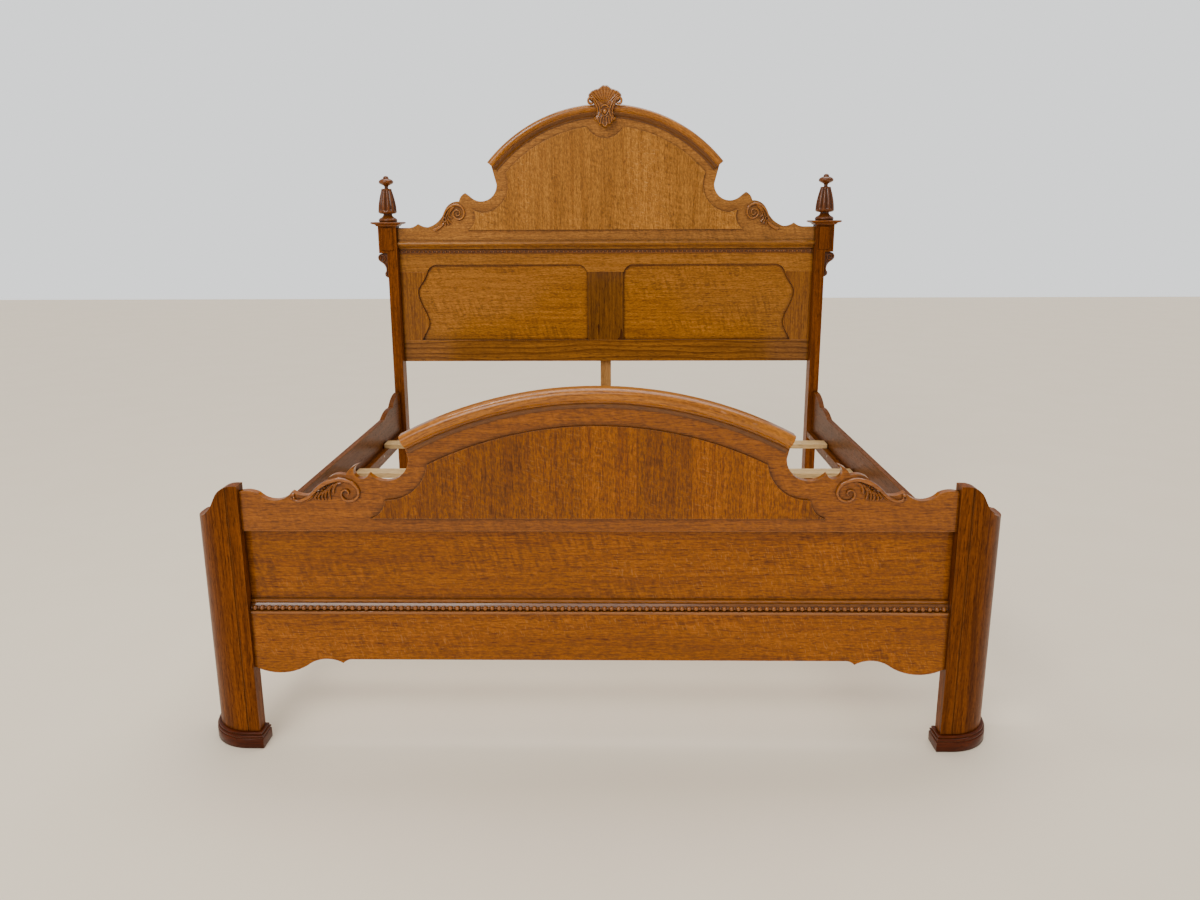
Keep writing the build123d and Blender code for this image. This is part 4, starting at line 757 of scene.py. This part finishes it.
def corbel(side):
    """Bracket under the post's cheek: an S-shaped slab with a volute and a bud on both faces."""
    name = hand(side)
    low, high = lowest("corbel_" + name), highest("corbel_" + name)
    inner = low[0] if side > 0 else high[0]
    top = high[2]
    edge = [(1, 0), (27, -1), (42, -8), (47, -22), (40, -37), (27, -46), (17, -57), (12, -72),
            (13, -84), (18, -92), (17, -104), (8, -112), (1, -113)]
    curve = smooth_curve(edge, 80)
    outline = curve * mm * [side, 1] + [inner, top]
    if side < 0:
        outline = outline[::-1]
    inset = 4 * mm
    pieces = [extruded(outline[::-1], low[1] + inset, high[1] - inset, 2.5 * mm)]
    wind = [(19 - 15 * t, 3.3 * pi * t - 0.9) for t in np.linspace(0, 1, 17)]
    spiral = [(25 + radius * cos(turn), -22 - radius * sin(turn)) for radius, turn in wind]
    ribbon = [(10, -96), (7, -84), (7, -70), (13, -54), (25, -42)]
    origin = (inner, top)
    for face_y, forward in ((low[1] + inset, 1), (high[1] - inset, -1)):
        place = (origin, face_y, side)
        for knots, width, relief in ((spiral, [4.2, 3.8, 3.2, 2.6], [5, 5, 5.5, 6]),
                                     (ribbon, [2.5, 3.6, 4, 4], [4, 5, 5, 5])):
            pieces.append(strand(knots, width, [forward * value for value in relief], *place))
        pieces.append(bead(11, -99, 5.0, forward * 5.5, *place))
    make_piece("carved_corbel_" + name, joined(pieces), oak_turning,
                      ["corbel_" + name])


def finial(side):
    """Turned finial: vase foot, fluted bell, thin neck and button with a nipple."""
    name = hand(side)
    low, high = lowest("finial_" + name), highest("finial_" + name)
    tall = 206 * mm
    base = high[2] - tall
    foot = smooth_curve([(42, 3), (42.3, 10), (37, 16.5), (29, 21), (22.5, 27), (20, 34)], 26)
    bell = smooth_curve([(42.3, 44), (42.5, 52), (40, 78), (33.5, 110), (25, 140), (23.8, 147)], 60)
    button = smooth_curve([(9, 150), (8.6, 156), (11, 162), (22, 167.5), (31, 173), (33, 180), (29.5, 186.5),
                           (20, 192), (14, 193.5)], 44)
    nipple = smooth_curve([(13, 194.5), (12.3, 199), (8.5, 204), (3, 206)], 12)
    profile = np.concatenate(([(0, -1), (38, -1), (40, 0.5)], foot, [(20.5, 35.5), (34, 37.5), (39, 40)],
                              bell, [(22, 148.5), (13, 149.2)], button, nipple, [(0, 206.3)])) * mm

    def flutes(height, angle):
        """Ten hollows between ridges, from just above the bell's foot to just under its top."""
        inside = np.clip((height / mm - 46) / 8, 0, 1) * np.clip((146 - height / mm) / 5, 0, 1)
        hollow = 1 - np.abs(np.cos(5 * angle)) ** 1.2
        return 0.16 * inside * hollow

    centre = ((low[0] + high[0]) / 2, (low[1] + high[1]) / 2, base)
    make_piece("turned_finial_" + name, turned(profile, centre, around=120, flute=flutes),
                      oak_turning, ["finial_" + name])


# ---------------------------------------------------------------- mouldings and beads
def foot_bead_rail():
    """Sloping rail with a step below, a hollow with a string of pearls in it, and a step above."""
    low, high = lowest("footboard_bead_rail"), highest("footboard_bead_rail")
    hollow = smooth_curve([(5, 8), (8, 9), (10.5, 12), (12.5, 17), (15, 22), (17, 25)], 14)
    step = [(0, 0.8), (0.8, 0), (24, 0), (24, 35), (16.5, 35), (15.2, 34), (15.2, 27), (16, 26)]
    profile = np.concatenate((step, hollow[::-1], [(3, 7.5), (1.2, 7), (0, 5.8)]))[::-1] * mm
    base = moulding(profile + low[1:], low[0], high[0])
    pearl, end_gap = 6.8 * mm, 4 * mm
    pearls = bead_string(low[0] + end_gap, high[0] - end_gap, low[1] + pearl, low[2] + 15 * mm,
                         pitch=19 * mm, pearl=pearl, bead=3.6 * mm)
    make_piece("foot_bead_rail", joined([base, pearls]), oak_beads,
               ["footboard_bead_rail"])


def head_bead_strip():
    """Flat strip with a string of pearls along its middle."""
    low, high = lowest("headboard_bead_strip"), highest("headboard_bead_strip")
    tall = (high[2] - low[2]) / mm
    deep = (high[1] - low[1]) / mm
    profile = np.array([(deep, 0), (deep, tall), (6, tall), (5.2, tall - 0.8), (5.2, tall - 3),
                        (7, tall - 4), (7, 4), (5.2, 3), (5.2, 0.8), (6, 0)]) * mm
    base = moulding(profile + low[1:], low[0], high[0])
    pearl, end_gap = 4.6 * mm, 4 * mm
    pearls = bead_string(low[0] + end_gap, high[0] - end_gap, low[1] + pearl, (low[2] + high[2]) / 2,
                         pitch=20.5 * mm, pearl=pearl, bead=2.4 * mm)
    make_piece("head_bead_strip", joined([base, pearls]), oak_beads,
               ["headboard_bead_strip"])


def wing_outline(low, high, side, steps=24):
    """Plan of a footboard post as a closed line: flat front, quarter round, straight side, hollow."""
    radius, wall, corner, thick = 112 * mm, 26 * mm, 28 * mm, 44 * mm
    outer = high[0] if side > 0 else -low[0]
    inner = low[0] if side > 0 else -high[0]
    front, rear = low[1], high[1]
    turn = np.linspace(-pi / 2, 0, steps)
    quarter = np.stack((outer - radius + radius * np.cos(turn), front + radius + radius * np.sin(turn)), -1)
    bend = turn[::-1]
    hollow = np.stack((outer - wall - corner + corner * np.cos(bend),
                       front + thick + corner + corner * np.sin(bend)), -1)
    line = np.concatenate(([(inner, front)], quarter, [(outer, rear), (outer - wall, rear)], hollow,
                           [(inner, front + thick)]))
    return line if side > 0 else (line * [-1, 1])[::-1]


def carried_round(line, profile):
    """A moulding's profile carried round a closed plan: out from the line, and height above 0.

    At each corner of the plan it is pushed out along the mitre between the sides that meet."""
    along = np.roll(line, -1, axis=0) - line
    along /= np.linalg.norm(along, axis=1, keepdims=True)
    normal = np.stack((along[:, 1], -along[:, 0]), -1)
    mitre = normal + np.roll(normal, 1, axis=0)
    mitre /= np.maximum((mitre ** 2).sum(1, keepdims=True) / 2, 0.5)
    points = np.empty((len(profile), len(line), 3))
    points[..., :2] = line[None] + mitre[None] * profile[:, 0][:, None, None]
    points[..., 2] = profile[:, 1][:, None]
    return capped(sheet_of(points, wrap=True), len(profile), len(line))


def plinth(side):
    """Footboard plinth: a tall fillet with two round beads above it, carried round the post."""
    name = hand(side)
    post = "footboard_post_" + name
    line = wing_outline(lowest(post), highest(post), side)
    fillet = [(10.8, 0), (12, 1.5), (12, 27), (11.2, 28.5), (9.2, 29.5), (9.0, 31)]
    lower = [(9.0 + 2.2 * sin(a), 34.5 - 3.3 * cos(a)) for a in np.linspace(0.3, pi - 0.3, 9)]
    upper = [(5.2 + 2.6 * sin(a), 42.4 - 3.6 * cos(a)) for a in np.linspace(0.3, pi - 0.2, 9)]
    profile = np.array(fillet + lower + [(7.2, 38.4)] + upper + [(1.0, 46.8), (-4, 47.2)]) * mm
    make_piece("moulded_plinth_" + name, carried_round(line, profile), oak_plinth,
                      ["foot_plinth_" + name])


def post_cap(side):
    """Cap of a headboard post: a thin plate with a rounded nose, and a hollow below it."""
    name = hand(side)
    low, high = lowest("post_cap_" + name), highest("post_cap_" + name)
    line = np.array([(low[0], low[1]), (high[0], low[1]), (high[0], high[1]), (low[0], high[1])])
    top = (high[2] - low[2]) / mm
    hollow = [(-20 + 15 * (1 - cos(a)), 9.5 * sin(a)) for a in np.linspace(0, pi / 2, 9)]
    nose = [(-4 + 4 * cos(a), top - 4 + 4 * sin(a)) for a in np.linspace(-pi / 2, pi / 2, 11)]
    profile = np.array(hollow + [(-5, top - 8)] + nose) * mm + [0, low[2]]
    make_piece("moulded_cap_" + name, carried_round(line, profile), oak_cap,
                      ["post_cap_" + name])


for each_side in (-1, 1):
    foot_scroll(each_side)
    head_scroll(each_side)
    corbel(each_side)
    finial(each_side)
    plinth(each_side)
    post_cap(each_side)
shell_crest()
foot_bead_rail()
head_bead_strip()


# ---------------------------------------------------------------- floor, light and camera
WARM_WHITE = (1.0, 0.96, 0.90)


def make_floor():
    """Plain pale square floor with a soft mottle."""
    half = 14.0
    corners = np.array([[[-half, -half, 0], [half, -half, 0]], [[-half, half, 0], [half, half, 0]]], float)
    points, faces, _ = sheet_of(corners)
    mesh = bpy.data.meshes.new("floor")
    mesh.from_pydata(points.tolist(), [], faces)
    mesh.materials.append(plain_material("floor_pale", (0.82, 0.72, 0.58, 1), (0.81, 0.71, 0.57, 1), 0.8,
                                         scale=3.0))
    floor = bpy.data.objects.new("floor", mesh)
    bpy.context.scene.collection.objects.link(floor)


def soft_light(name, kind, place, target, strength, **shape):
    """Soft warm white light at place that faces target: a wide sun or a square panel."""
    data = bpy.data.lights.new(name, kind)
    data.energy = strength
    data.color = WARM_WHITE
    for setting, value in shape.items():
        setattr(data, setting, value)
    light = bpy.data.objects.new(name, data)
    light.matrix_world = Matrix.Translation(place) @ (
        Vector(target) - Vector(place)).to_track_quat("-Z", "Y").to_matrix().to_4x4()
    bpy.context.scene.collection.objects.link(light)


def make_camera():
    """Camera in front of the foot end at eye height, turned a little left and tilted down."""
    yaw, pitch, roll = radians(1.0), radians(13.76), radians(-0.24)
    forward = Vector((-sin(yaw) * cos(pitch), cos(yaw) * cos(pitch), -sin(pitch)))
    right = Vector((cos(yaw), sin(yaw), 0))
    up = right.cross(forward)
    level_right = cos(roll) * right + sin(roll) * up
    level_up = cos(roll) * up - sin(roll) * right
    turn = Matrix((level_right, level_up, -forward)).transposed().to_4x4()
    data = bpy.data.cameras.new("camera")
    data.lens = 28.5
    data.sensor_width = 36
    camera = bpy.data.objects.new("camera", data)
    eye = (0.050, -3.473, 1.432)
    camera.matrix_world = Matrix.Translation(eye) @ turn
    bpy.context.scene.collection.objects.link(camera)
    bpy.context.scene.camera = camera


def make_room_light():
    """Even pale surroundings: dim as a light, bright where the camera sees them."""
    world = bpy.data.worlds.new("room")
    world.use_nodes = True
    n = Nodes(world.node_tree)
    seen = n.add("ShaderNodeLightPath", {}).outputs["Is Camera Ray"]
    background = world.node_tree.nodes["Background"]
    background.inputs["Color"].default_value = (0.90, 0.92, 0.93, 1)
    as_light, as_seen = 0.5, 1.45
    world.node_tree.links.new(n.between(seen, 0.0, 1.0, as_light, as_seen), background.inputs["Strength"])
    bpy.context.scene.world = world


make_floor()
make_room_light()
soft_light("ceiling", "SUN", (0.6, 1.2, 5.0), (0, 0, 0), 2.3, angle=radians(55))
soft_light("fill", "SUN", (-1.8, -4.6, 3.6), (0, 0, 0), 0.9, angle=radians(45))
soft_light("front", "AREA", (-1.8, -4.6, 3.6), (0, -0.5, 0.8), 50, size=2.0)
soft_light("lamp", "AREA", (-1.3, -0.9, 3.1), (0, 0.4, 1.0), 19, size=0.7)
make_camera()
